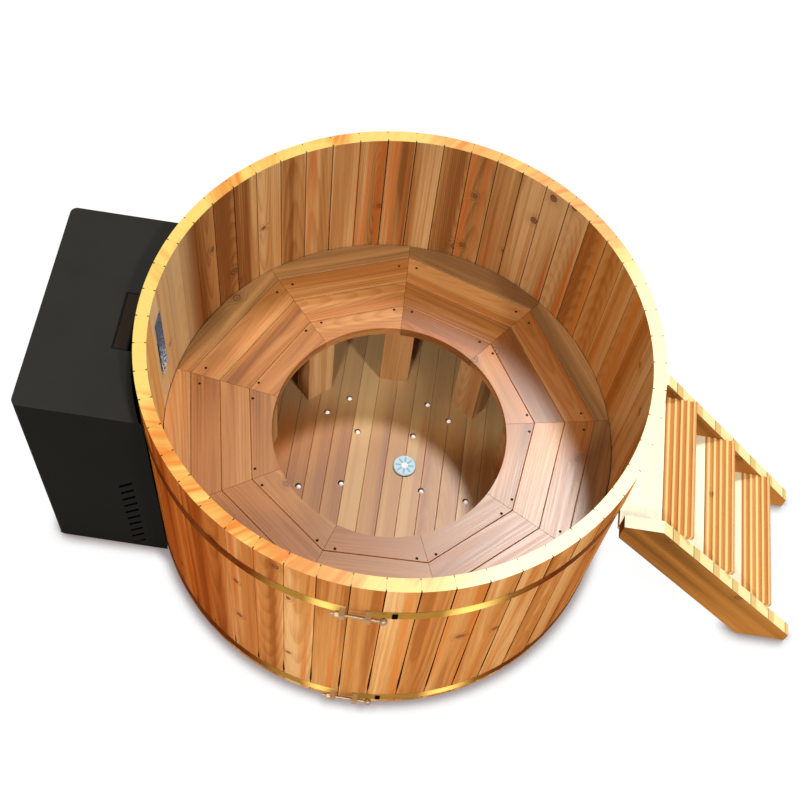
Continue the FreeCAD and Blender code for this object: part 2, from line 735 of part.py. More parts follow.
def make_hoops():
    """Two open bands with welded lugs, tension rods, nuts and clips."""
    for name in HOOPS:
        band = new_body(f"{name}_band")
        sketch = sketch_on(band, "XZ_Plane")
        top = getattr(dim, f"{name}_hoop_top")
        draw_rectangle(sketch, (HOOP_IN, HOOP_OUT), (top - dim.hoop_width, top))
        opening = (dim.lug_spacing - dim.lug_length) / HOOP_OUT * 180 / math.pi
        turn(band, sketch, 360 - opening, middle=True)
        band.Placement = FreeCAD.Placement(ORIGIN, FreeCAD.Rotation(Z_AXIS, size("tension_angle") + 180))
        keep(band, f"{name}_hoop")

    rod_reach = size("tub_radius") + size("tension_rod_offset")
    seat_radius = value(HOOP_OUT)
    rod_radius = size("tension_rod_radius")
    seat = size("lug_spacing") / 2 + size("lug_length") / 2 + size("tension_play")
    tail = seat + size("nut_length") + size("tension_rod_end")
    hole_radius = rod_radius + size("tension_play")
    lugs = []
    rods = []
    clips = []
    for name in HOOPS:
        middle = hoop_middle(name)
        band = Part.makeCylinder(seat_radius, size("stave_height"))
        hole_start = FreeCAD.Vector(rod_reach, -size("tub_radius"), middle)
        hole = Part.makeCylinder(hole_radius, 2 * size("tub_radius"), hole_start, Y_AXIS)
        for side in (-1, 1):
            y = side * size("lug_spacing") / 2 - size("lug_length") / 2
            corner = FreeCAD.Vector(inner_radius, y, middle - size("lug_height") / 2)
            depth = rod_reach + size("lug_rise") - inner_radius
            block = Part.makeBox(depth, size("lug_length"), size("lug_height"), corner)
            lugs.append(turned_copy(block.cut(band).cut(hole), size("tension_angle")))
        start = FreeCAD.Vector(rod_reach, -tail, middle)
        length = tail + size("tension_rod_reach")
        shank = Part.makeCylinder(rod_radius, length, start, Y_AXIS)
        end = FreeCAD.Vector(rod_reach, size("tension_rod_reach"), middle)
        ball = Part.makeSphere(size("tension_ball_radius"), end)
        rods.append(turned_copy(shank.fuse(ball), size("tension_angle")))
        depth = seat_radius + size("clip_thickness") - inner_radius
        corner = FreeCAD.Vector(inner_radius, -size("clip_width") / 2, middle - size("clip_height") / 2)
        block = Part.makeBox(depth, size("clip_width"), size("clip_height"), corner)
        clips.append(turned_copy(block.cut(band), size("clip_angle")))
    solids("hoop_lugs", lugs)
    solids("tension_rods", rods)
    solids("hoop_clips", clips)

    along = polar(1, size("tension_angle") + 90)
    for name in HOOPS:
        hexagon = doc.addObject("Part::Prism", f"{name}_nut_blank")
        hexagon.Polygon = 6
        bind(hexagon, Circumradius=dim.nut_radius, Height=dim.nut_length)
        bore = bind(doc.addObject("Part::Cylinder", f"{name}_nut_bore"), Height=dim.nut_length)
        bind(bore, Radius=dim.tension_rod_radius + dim.tension_play)
        nut = keep(cut(f"{name}_nut", hexagon, bore), f"{name}_tension_nut")
        on_rod = polar(rod_reach, size("tension_angle"), hoop_middle(name))
        foot = on_rod - along * (seat + size("nut_length"))
        nut.Placement = FreeCAD.Placement(foot, FreeCAD.Rotation(Z_AXIS, along))


# The bench: nine mitred segments on posts and bearers.
segment_angle = 360 / size("bench_segments")


def screw_places():
    """Bench screws beside one mitre joint that points along +X."""
    rows = (value(POST_FRONT + dim.screw_inset), inner_radius - size("screw_wall_inset"))
    return [(row, side * size("screw_side")) for row in rows for side in (-1, 1)]


def screw_shape(play):
    """One bench screw with its head under the seat, or the hole for it."""
    head_top = size("bench_top") - size("screw_sink")
    head_low = head_top - size("screw_head_height")
    rise = size("screw_sink") if play else 0
    head = Part.makeCylinder(
        size("screw_head_radius") + play, size("screw_head_height") + rise, FreeCAD.Vector(0, 0, head_low))
    shank = Part.makeCylinder(
        size("screw_shank_radius") + play, size("screw_length"),
        FreeCAD.Vector(0, 0, head_low - size("screw_length")))
    return head.fuse(shank)


def make_bench():
    """Segments of four boards, posts, bearers and screws."""
    outer = inner_radius - size("bench_wall_gap")
    low = value(BENCH_LOW)
    holes = [moved_copy(screw_shape(size("screw_play")), x, y) for x, y in screw_places()]
    mitres = (-segment_angle / 2, segment_angle / 2)
    segment_holes = [turned_copy(hole, angle) for angle in mitres for hole in holes]

    half = math.radians(segment_angle / 2)
    gap = size("bench_mitre_gap") / 2 / math.sin(half)
    wedge = prism(
        ((gap, 0), (2 * outer, (2 * outer - gap) * math.tan(half)),
         (2 * outer, (gap - 2 * outer) * math.tan(half))), low, size("bench_top"))
    height = size("bench_thickness")
    base = FreeCAD.Vector(0, 0, low)
    ring = Part.makeCylinder(outer, height, base).cut(
        Part.makeCylinder(size("bench_inner_radius"), height, base))
    sector = wedge.common(ring)
    half_gap = size("bench_board_gap") / 2
    edges = [0]
    first_joint = size("bench_inner_radius") + size("bench_first_board")
    for number in range(BENCH_BOARDS - 1):
        edges.append(first_joint + number * size("bench_board_pitch"))
    edges.append(outer)
    boards = []
    for near_edge, far_edge in zip(edges, edges[1:]):
        blank = board(
            near_edge + half_gap, far_edge - half_gap, outer, low, size("bench_top"), size("bench_bevel"))
        boards.append(cut_where_met(blank.common(sector), segment_holes))
    segment = Part.makeCompound(boards)
    for number in range(int(size("bench_segments"))):
        feature = doc.addObject("Part::Feature", f"bench_segment_{number + 1}")
        feature.Shape = segment
        angle = size("bench_mitre_angle") + (number + 0.5) * segment_angle
        feature.Placement = FreeCAD.Placement(ORIGIN, FreeCAD.Rotation(Z_AXIS, angle))
        keep(feature, f"bench_segment_{number + 1}")

    post_front = value(POST_FRONT)
    half_width = size("post_width") / 2
    post_back = post_front + size("post_depth")
    rear_back = inner_radius - size("rear_post_gap")
    bearer_low = low - size("bearer_height")
    floor_top = size("floor_top")
    front_post = Part.makeBox(
        size("post_depth"), size("post_width"), low - floor_top,
        FreeCAD.Vector(post_front, -half_width, floor_top))
    rear_post = Part.makeBox(
        size("rear_post_depth"), size("post_width"), bearer_low - floor_top,
        FreeCAD.Vector(rear_back - size("rear_post_depth"), -half_width, floor_top))
    bearer = Part.makeBox(
        rear_back - post_back, size("post_width"), size("bearer_height"),
        FreeCAD.Vector(post_back, -half_width, bearer_low))
    screws = [moved_copy(screw_shape(0), x, y) for x, y in screw_places()]
    count = int(size("bench_segments"))
    angles = [size("bench_mitre_angle") + number * segment_angle for number in range(count)]
    supports = {"bench_front_posts": front_post, "bench_rear_posts": rear_post, "bench_bearers": bearer}
    for label, shape in supports.items():
        drilled = cut_where_met(shape, holes)
        solids(label, [turned_copy(drilled, angle) for angle in angles])
    solids("bench_screws", [turned_copy(screw, angle) for angle in angles for screw in screws])


# The drain: a fitting in the floor with a lift-out strainer, and a pipe with a valve.
FLANGE_TOP = (dim.floor_top + dim.drain_flange_thickness)


def make_drain():
    """Drain fitting, strainer, pipes, valve and lever."""
    foot = dim.drain_foot
    tail_floor = dim.drain_foot + dim.drain_floor
    cup = turned("drain_cup", (
        (0, foot), (dim.drain_tail_radius, foot), (dim.drain_tail_radius, dim.floor_top),
        (dim.drain_flange_radius, dim.floor_top), (dim.drain_flange_radius, FLANGE_TOP),
        (dim.drain_bore_radius, FLANGE_TOP), (dim.drain_bore_radius, tail_floor), (0, tail_floor)))
    place(cup, dim.drain_x, dim.drain_y, 0)
    port = rod("drain_port", (dim.drain_x, dim.drain_y, dim.small_pipe_z), -X_AXIS,
               dim.small_pipe_radius - dim.small_pipe_wall, 2 * dim.drain_tail_radius)
    keep(cut("drain", cup, port), "drain_fitting")

    seat = FLANGE_TOP + dim.lever_play
    top = seat + dim.strainer_thickness
    spigot = dim.drain_bore_radius - dim.strainer_play
    spigot_in = spigot - dim.strainer_wall
    spigot_low = FLANGE_TOP - dim.strainer_spigot
    cover = turned("strainer", (
        (0, seat), (spigot_in, seat), (spigot_in, spigot_low), (spigot, spigot_low), (spigot, seat),
        (dim.strainer_radius, seat), (dim.strainer_radius, seat + dim.strainer_thickness / 2),
        (dim.strainer_radius - dim.strainer_rim / 2, top), (0, top)))
    slot = sketch_on(cover, "XY_Plane", top)
    draw_rectangle(
        slot, (dim.strainer_hub_radius, dim.strainer_radius - dim.strainer_rim),
        (-dim.strainer_slot_width / 2, dim.strainer_slot_width / 2))
    first = pocket(cover, slot, dim.strainer_thickness)
    pattern = cover.newObject("PartDesign::PolarPattern", "strainer_pattern")
    pattern.Originals = [first]
    pattern.Axis = (slot, ["N_Axis"])
    pattern.Angle = 360
    bind(pattern, Occurrences=dim.strainer_slots)
    cover.Tip = pattern
    place(cover, dim.drain_x, dim.drain_y, 0)
    keep(cover, "drain_strainer")

    radius, wall = size("small_pipe_radius"), size("small_pipe_wall")
    y, z = size("drain_y"), size("small_pipe_z")
    half_valve = size("valve_length") / 2
    drain_side = size("drain_x") - size("drain_tail_radius")
    collar = value(CABINET_X) - size("outlet_collar")
    outlet = value(CABINET_X) - size("outlet_reach")
    bore_radius = radius - wall

    def tube(start, end, tube_radius):
        """A round bar along the drain line."""
        return Part.makeCylinder(tube_radius, start - end, FreeCAD.Vector(start, y, z), -X_AXIS)

    inlet_pipe = tube(drain_side, value(VALVE_X) + half_valve, radius)
    outlet_pipe = tube(value(VALVE_X) - half_valve, collar, radius)
    outlet_pipe = outlet_pipe.fuse(tube(collar, outlet, size("outlet_radius")))
    bore = tube(drain_side, outlet, bore_radius)
    solids("drain_pipes", [inlet_pipe.cut(bore), outlet_pipe.cut(bore)])

    barrel = rod("valve_barrel", (VALVE_X - dim.valve_length / 2, dim.drain_y, dim.small_pipe_z),
                 X_AXIS, dim.valve_radius, dim.valve_length)
    stem = rod("valve_stem", (VALVE_X, dim.drain_y, dim.small_pipe_z), Z_AXIS,
               dim.valve_stem_radius, dim.valve_stem_top - dim.small_pipe_z)
    keep(fuse("valve", barrel, stem), "drain_valve")

    lever = new_body("lever")
    sketch = sketch_on(lever, "XY_Plane")
    half = dim.lever_width / 2
    draw_polygon(sketch, (
        (-half, -half), (half, -half), (half, half), (half / 2, dim.lever_width),
        (half / 2, dim.lever_length), (-half / 2, dim.lever_length),
        (-half / 2, dim.lever_width), (-half, half)))
    pad(lever, sketch, dim.lever_thickness)
    place(lever, VALVE_X, dim.drain_y, dim.valve_stem_top + dim.lever_play)
    keep(lever, "drain_valve_lever")


# The air system: jets in the floor, chambers under it, pipes and a blower.
def make_air():
    """Air jets, chambers, pipes, blower housing and wheel."""
    flange_low = floor_low - size("jet_flange_thickness")
    length = size("floor_top") - size("jet_recess") - flange_low
    foot = FreeCAD.Vector(0, 0, flange_low)
    radius, dome = size("jet_radius"), size("jet_dome")
    shoulder = FreeCAD.Vector(0, 0, flange_low + length)
    ball_radius = (radius ** 2 + dome ** 2) / (2 * dome)
    ball = Part.makeSphere(ball_radius, FreeCAD.Vector(0, 0, shoulder.z + dome - ball_radius))
    cap = ball.common(Part.makeCylinder(radius, dome, shoulder))
    flange = Part.makeCylinder(size("jet_flange_radius"), size("jet_flange_thickness"), foot)
    spigot = Part.makeCylinder(radius, length, foot)
    bore = Part.makeCylinder(size("jet_bore_radius"), length + dome, foot)
    jet = flange.fuse(spigot).fuse(cap).cut(bore)
    solids("air_jets", [moved_copy(jet, x, y) for x, y in JET_PLACES])

    margin = size("chamber_margin")
    wall = size("chamber_wall")
    limit = value(JOIST_MIDDLE_Y) - size("joist_width") / 2 - size("chamber_joist_gap")
    low = floor_low - size("chamber_height")
    z = size("small_pipe_z")
    chambers = []
    chamber_ends = []
    for rear, y in ((False, size("air_front_y")), (True, size("air_rear_y"))):
        places = [spot for spot in JET_PLACES if (spot[1] > value(JOIST_MIDDLE_Y)) == rear]
        x_low, x_high = min(x for x, _ in places) - margin, max(x for x, _ in places) + margin
        y_low, y_high = min(spot for _, spot in places) - margin, max(spot for _, spot in places) + margin
        if not rear:
            y_high = min(y_high, limit)
        tray = Part.makeBox(
            x_high - x_low, y_high - y_low, floor_low - low, FreeCAD.Vector(x_low, y_low, low))
        hollow = Part.makeBox(
            x_high - x_low - 2 * wall, y_high - y_low - 2 * wall, floor_low - low,
            FreeCAD.Vector(x_low + wall, y_low + wall, low + wall))
        port = Part.makeCylinder(size("small_pipe_radius") - size("small_pipe_wall"), 2 * wall,
                                 FreeCAD.Vector(x_low - wall / 2, y, z), X_AXIS)
        chambers.append(tray.cut(hollow).cut(port))
        chamber_ends.append(FreeCAD.Vector(x_low, y, z))
    solids("air_chambers", chambers)

    header_x, header_z = value(AIR_HEADER_X), size("air_header_z")
    blower_side = value(BLOWER_X) + size("blower_radius")
    skins, bores = [], []
    for end in chamber_ends:
        points = [FreeCAD.Vector(blower_side, size("blower_y"), header_z),
                  FreeCAD.Vector(header_x, size("blower_y"), header_z),
                  FreeCAD.Vector(header_x, end.y, header_z), FreeCAD.Vector(header_x, end.y, z), end]
        skin, bore = pipe(points, size("small_pipe_radius"), size("small_pipe_wall"))
        skins.append(skin)
        bores.append(bore)
    solids("air_pipes", [skins[0].fuse(skins[1]).cut(bores[0].fuse(bores[1]))])

    base, top = TRAY_TOP, TRAY_TOP + dim.blower_height
    room_low = TRAY_TOP + dim.blower_wall
    room_high = room_low + dim.blower_wheel_height + 2 * dim.rotor_gap
    room = dim.blower_radius - dim.blower_wall
    bearing = dim.blower_shaft_radius + dim.rotor_play
    shaft_top = top - 2 * dim.blower_wall
    housing = turned("blower", (
        (0, base), (dim.blower_radius, base), (dim.blower_radius, room_high),
        (room, top), (0, top), (0, shaft_top + dim.rotor_play), (bearing, shaft_top + dim.rotor_play),
        (bearing, room_high), (room, room_high), (room, room_low), (0, room_low)))
    place(housing, BLOWER_X, dim.blower_y, 0)
    keep(housing, "blower_housing")
    wheel_low, wheel_high = room_low + dim.rotor_gap, room_high - dim.rotor_gap
    wheel_radius = room - dim.rotor_gap
    wheel = turned("wheel", (
        (0, wheel_low), (wheel_radius, wheel_low), (wheel_radius, wheel_high),
        (dim.blower_shaft_radius, wheel_high), (dim.blower_shaft_radius, shaft_top), (0, shaft_top)))
    place(wheel, BLOWER_X, dim.blower_y, 0)
    keep(wheel, "blower_wheel")


# The skimmer behind the tub wall, with its grille, filter and hatch lid.
SKIMMER_BACK_Y = (dim.skimmer_front_y + dim.skimmer_width)
LID_AXIS_X = (SKIMMER_X + dim.skimmer_wall + dim.lid_play + dim.lid_thickness / 2)
LID_AXIS_Z = (dim.cabinet_height - dim.lid_thickness / 2)
GRILLE_BACK_X = dim.grille_play - root(INNER ** 2 - (GRILLE_WIDTH / 2 + abs(dim.throat_y)) ** 2)


def inset(pair, amount):
    """A pair of low and high measures, drawn in at both ends."""
    return pair[0] + amount, pair[1] - amount


def make_skimmer():
    """Skimmer body, grille, filter cartridge and hatch lid."""
    x_span = (SKIMMER_X, SKIMMER_TUB_X)
    y_span = (dim.skimmer_front_y, SKIMMER_BACK_Y)
    throat_y = (dim.throat_y - dim.throat_width / 2, dim.throat_y + dim.throat_width / 2)
    throat_z = (THROAT_BOTTOM, THROAT_TOP)
    inner_x, inner_y = inset(x_span, dim.skimmer_wall), inset(y_span, dim.skimmer_wall)
    ledge_x = (inner_x[0], inner_x[1] - dim.skimmer_ledge)
    lid_seat = dim.cabinet_height - dim.lid_thickness - dim.hinge_pin_play

    skimmer = new_body("skimmer")
    sketch = sketch_on(skimmer, "XY_Plane", SKIMMER_BOTTOM)
    draw_rectangle(sketch, x_span, y_span)
    pad(skimmer, sketch, dim.cabinet_height - SKIMMER_BOTTOM)
    sketch = sketch_on(skimmer, "YZ_Plane", SKIMMER_TUB_X - dim.skimmer_wall)
    draw_rectangle(sketch, throat_y, throat_z)
    pad(skimmer, sketch, GRILLE_BACK_X - SKIMMER_TUB_X + dim.skimmer_wall)
    sketch = sketch_on(skimmer, "XY_Plane", dim.cabinet_height)
    draw_rectangle(sketch, inner_x, inner_y)
    pocket(skimmer, sketch, dim.cabinet_height - (lid_seat))
    sketch = sketch_on(skimmer, "XY_Plane", dim.cabinet_height)
    draw_rectangle(sketch, ledge_x, inner_y)
    pocket(skimmer, sketch, dim.cabinet_height - SKIMMER_BOTTOM - dim.skimmer_wall)
    sketch = sketch_on(skimmer, "YZ_Plane", GRILLE_BACK_X)
    draw_rectangle(sketch, inset(throat_y, dim.throat_wall), inset(throat_z, dim.throat_wall))
    pocket(skimmer, sketch, GRILLE_BACK_X - ledge_x[1] + dim.throat_wall)
    sketch = sketch_on(skimmer, "XZ_Plane", -dim.skimmer_front_y)
    draw_circle(sketch, LID_AXIS_X, LID_AXIS_Z, dim.hinge_pin_radius + dim.hinge_pin_play)
    pocket(skimmer, sketch, dim.skimmer_width)
    sketch = sketch_on(skimmer, "XY_Plane", SKIMMER_BOTTOM + dim.skimmer_wall)
    draw_circle(sketch, SUCTION_X, dim.suction_y, dim.large_pipe_radius - dim.large_pipe_wall)
    pocket(skimmer, sketch, dim.skimmer_wall)
    keep(skimmer, "skimmer_body")

    grille = new_body("grille")
    low = THROAT_BOTTOM - dim.grille_drop
    grille_y = (dim.throat_y - GRILLE_WIDTH / 2, dim.throat_y + GRILLE_WIDTH / 2)
    sketch = sketch_on(grille, "YZ_Plane", GRILLE_BACK_X)
    draw_rectangle(sketch, grille_y, (low, low + dim.grille_height))
    pad(grille, sketch, dim.grille_thickness)
    sketch = sketch_on(grille, "YZ_Plane", GRILLE_BACK_X + dim.grille_thickness)
    slot_low = low + dim.grille_border
    slot_z = (slot_low, slot_low + dim.grille_slot_height)
    draw_rectangle(sketch, inset(grille_y, dim.grille_border), slot_z)
    first = pocket(grille, sketch, dim.grille_thickness)
    pattern = grille.newObject("PartDesign::LinearPattern", "grille_pattern")
    pattern.Originals = [first]
    pattern.Direction = (sketch, ["V_Axis"])
    bind(pattern, Length=dim.grille_height - 2 * dim.grille_border - dim.grille_slot_height,
         Occurrences=dim.grille_slots)
    grille.Tip = pattern
    keep(grille, "skimmer_grille")

    floor = SKIMMER_BOTTOM + dim.skimmer_wall
    cartridge = box("filter", inset(ledge_x, dim.filter_play), inset(inner_y, dim.filter_play),
                    (floor, floor + dim.filter_height))
    keep(cartridge, "filter_cartridge")

    lid_y = inset(inner_y, dim.lid_play)
    lid_z = (dim.cabinet_height - dim.lid_thickness, dim.cabinet_height)
    leaf = box("lid_leaf", (LID_AXIS_X, inner_x[1] - dim.lid_play), lid_y, lid_z)
    edge = rod("lid_edge", (LID_AXIS_X, lid_y[0], LID_AXIS_Z), Y_AXIS, dim.lid_thickness / 2,
               lid_y[1] - (lid_y[0]))
    pin_setback = dim.skimmer_wall / 4
    pin = rod("lid_pin", (LID_AXIS_X, dim.skimmer_front_y + pin_setback, LID_AXIS_Z), Y_AXIS,
              dim.hinge_pin_radius, dim.skimmer_width - 2 * pin_setback)
    keep(fuse("lid", leaf, edge, pin), "hatch_lid")


# The water circuit: suction pipe, pump, heater and return.
SUCTION_X = (SKIMMER_X + SKIMMER_TUB_X - dim.skimmer_ledge) / 2
PUMP_PORT = (dim.large_pipe_radius - dim.large_pipe_wall)
PUMP_FRONT_Y = (dim.pump_rear_y + dim.pump_length)
DISCHARGE_Y = (dim.pump_rear_y + dim.pump_length / 2)
DISCHARGE_TOP = (dim.pump_z + dim.pump_radius + dim.pump_port_length)
HEATER_PORT_LOW = (dim.heater_z - dim.heater_radius - dim.heater_port)


def make_pump():
    """Pump casing, motor and rotor about one axis along Y."""
    port_outer = PUMP_PORT + dim.pump_port_wall
    port_end = dim.pump_length + dim.pump_port_length
    bearing = dim.shaft_radius + dim.rotor_play
    room_high = dim.pump_length - dim.pump_wall
    volute = turned("volute", (
        (bearing, 0), (dim.pump_radius, 0), (dim.pump_radius, dim.pump_length),
        (port_outer, dim.pump_length), (port_outer, port_end), (PUMP_PORT, port_end),
        (PUMP_PORT, room_high), (dim.pump_cavity_radius, room_high),
        (dim.pump_cavity_radius, dim.pump_wall), (bearing, dim.pump_wall)))
    place(volute, PUMP_X, dim.pump_rear_y, dim.pump_z, Y_AXIS)
    start_z = dim.pump_z + (dim.pump_cavity_radius + dim.pump_radius) / 2
    neck = rod("discharge_neck", (PUMP_X, DISCHARGE_Y, start_z), Z_AXIS, port_outer,
               DISCHARGE_TOP - (start_z))
    bore = rod("discharge_bore", (PUMP_X, DISCHARGE_Y, dim.pump_z + dim.pump_cavity_radius / 2), Z_AXIS,
               PUMP_PORT, DISCHARGE_TOP - dim.pump_z)
    keep(cut("casing", fuse("casing_blank", volute, neck), bore), "pump_casing")

    shaft_end = -dim.shaft_length
    frame = turned("motor_frame", (
        (0, -dim.motor_length), (dim.motor_radius, -dim.motor_length), (dim.motor_radius, 0),
        (bearing, 0), (bearing, shaft_end - dim.rotor_play), (0, shaft_end - dim.rotor_play)))
    place(frame, PUMP_X, dim.pump_rear_y, dim.pump_z, Y_AXIS)
    foot_y = dim.pump_rear_y - (dim.motor_length + dim.motor_foot_length) / 2
    foot = box("motor_foot", (PUMP_X - dim.motor_foot_width / 2, PUMP_X + dim.motor_foot_width / 2),
               (foot_y, foot_y + dim.motor_foot_length), (TRAY_TOP, dim.pump_z - dim.motor_radius * 0.75))
    keep(fuse("motor", frame, foot), "pump_motor")

    wheel_low, wheel_high = dim.pump_wall + dim.rotor_gap, room_high - dim.rotor_gap
    wheel_radius = dim.pump_cavity_radius - dim.rotor_gap
    rotor = turned("rotor", (
        (0, shaft_end), (dim.shaft_radius, shaft_end), (dim.shaft_radius, wheel_low),
        (wheel_radius, wheel_low), (wheel_radius, wheel_low + dim.rotor_gap),
        (2 * dim.shaft_radius, wheel_high), (0, wheel_high)))
    place(rotor, PUMP_X, dim.pump_rear_y, dim.pump_z, Y_AXIS)
    keep(rotor, "pump_rotor")


def make_water_circuit():
    """Suction pipe, heater, its pipes and the return through the tub wall."""
    radius, wall = size("large_pipe_radius"), size("large_pipe_wall")
    pump_x, pump_z = value(PUMP_X), size("pump_z")
    suction_x, suction_y = value(SUCTION_X), size("suction_y")
    bend = size("suction_bend_z")
    points = [
        FreeCAD.Vector(suction_x, suction_y, value(SKIMMER_BOTTOM)),
        FreeCAD.Vector(suction_x, suction_y, bend),
        FreeCAD.Vector(pump_x, suction_y, bend), FreeCAD.Vector(pump_x, suction_y, pump_z),
        FreeCAD.Vector(pump_x, value(PUMP_FRONT_Y) + size("pump_port_length"), pump_z)]
    skin, bore = pipe(points, radius, wall)
    solids("suction_pipe", [skin.cut(bore)])

    elbow_radius = size("tub_radius") + size("return_elbow_gap")
    elbow = polar(elbow_radius, size("return_angle"), size("heater_z"))
    port_radius = dim.large_pipe_radius + dim.large_pipe_wall
    heater_end = elbow.y + port_radius + dim.heater_margin
    shell = rod("heater_shell", (PUMP_X, dim.heater_front_y, dim.heater_z), Y_AXIS,
                dim.heater_radius, heater_end - dim.heater_front_y)
    port_reach = dim.heater_radius + dim.heater_port
    port_in = rod("heater_inlet", (PUMP_X, DISCHARGE_Y, dim.heater_z), -Z_AXIS,
                  port_radius, port_reach)
    port_out = rod("heater_outlet", (PUMP_X, elbow.y, dim.heater_z), X_AXIS,
                   port_radius, port_reach)
    keep(fuse("heater_body", shell, port_in, port_out), "heater")

    feed_x, feed_y = pump_x, value(DISCHARGE_Y)
    feed = [FreeCAD.Vector(feed_x, feed_y, value(DISCHARGE_TOP)),
            FreeCAD.Vector(feed_x, feed_y, value(HEATER_PORT_LOW))]
    fitting_end = size("tub_radius") + size("return_reach")
    back = [FreeCAD.Vector(pump_x + value(port_reach), elbow.y, elbow.z), elbow,
            polar(fitting_end, size("return_angle"), elbow.z)]
    pipes = []
    for points in (feed, back):
        skin, bore = pipe(points, radius, wall)
        pipes.append(skin.cut(bore))
    solids("heater_pipes", pipes)

    flange_radius = size("return_flange_radius")
    seat = math.sqrt(inner_radius ** 2 - flange_radius ** 2) - size("wall_hole_play")
    inside = polar(seat - size("return_flange_thickness"), size("return_angle"), elbow.z)
    flange = Part.makeCylinder(flange_radius, size("return_flange_thickness"), inside, return_axis)
    tail_length = fitting_end - seat + size("return_flange_thickness")
    tail = Part.makeCylinder(radius, tail_length, inside, return_axis)
    bore = Part.makeCylinder(radius - wall, tail_length, inside, return_axis)
    solids("return_fitting", [flange.fuse(tail).cut(bore)])

    wall_x = CABINET_X + dim.cabinet_sheet
    control = box("control", (wall_x, wall_x + dim.control_depth),
                  (dim.control_front_y, dim.control_front_y + dim.control_width),
                  (dim.control_bottom, dim.control_bottom + dim.control_height))
    keep(control, "control_box")


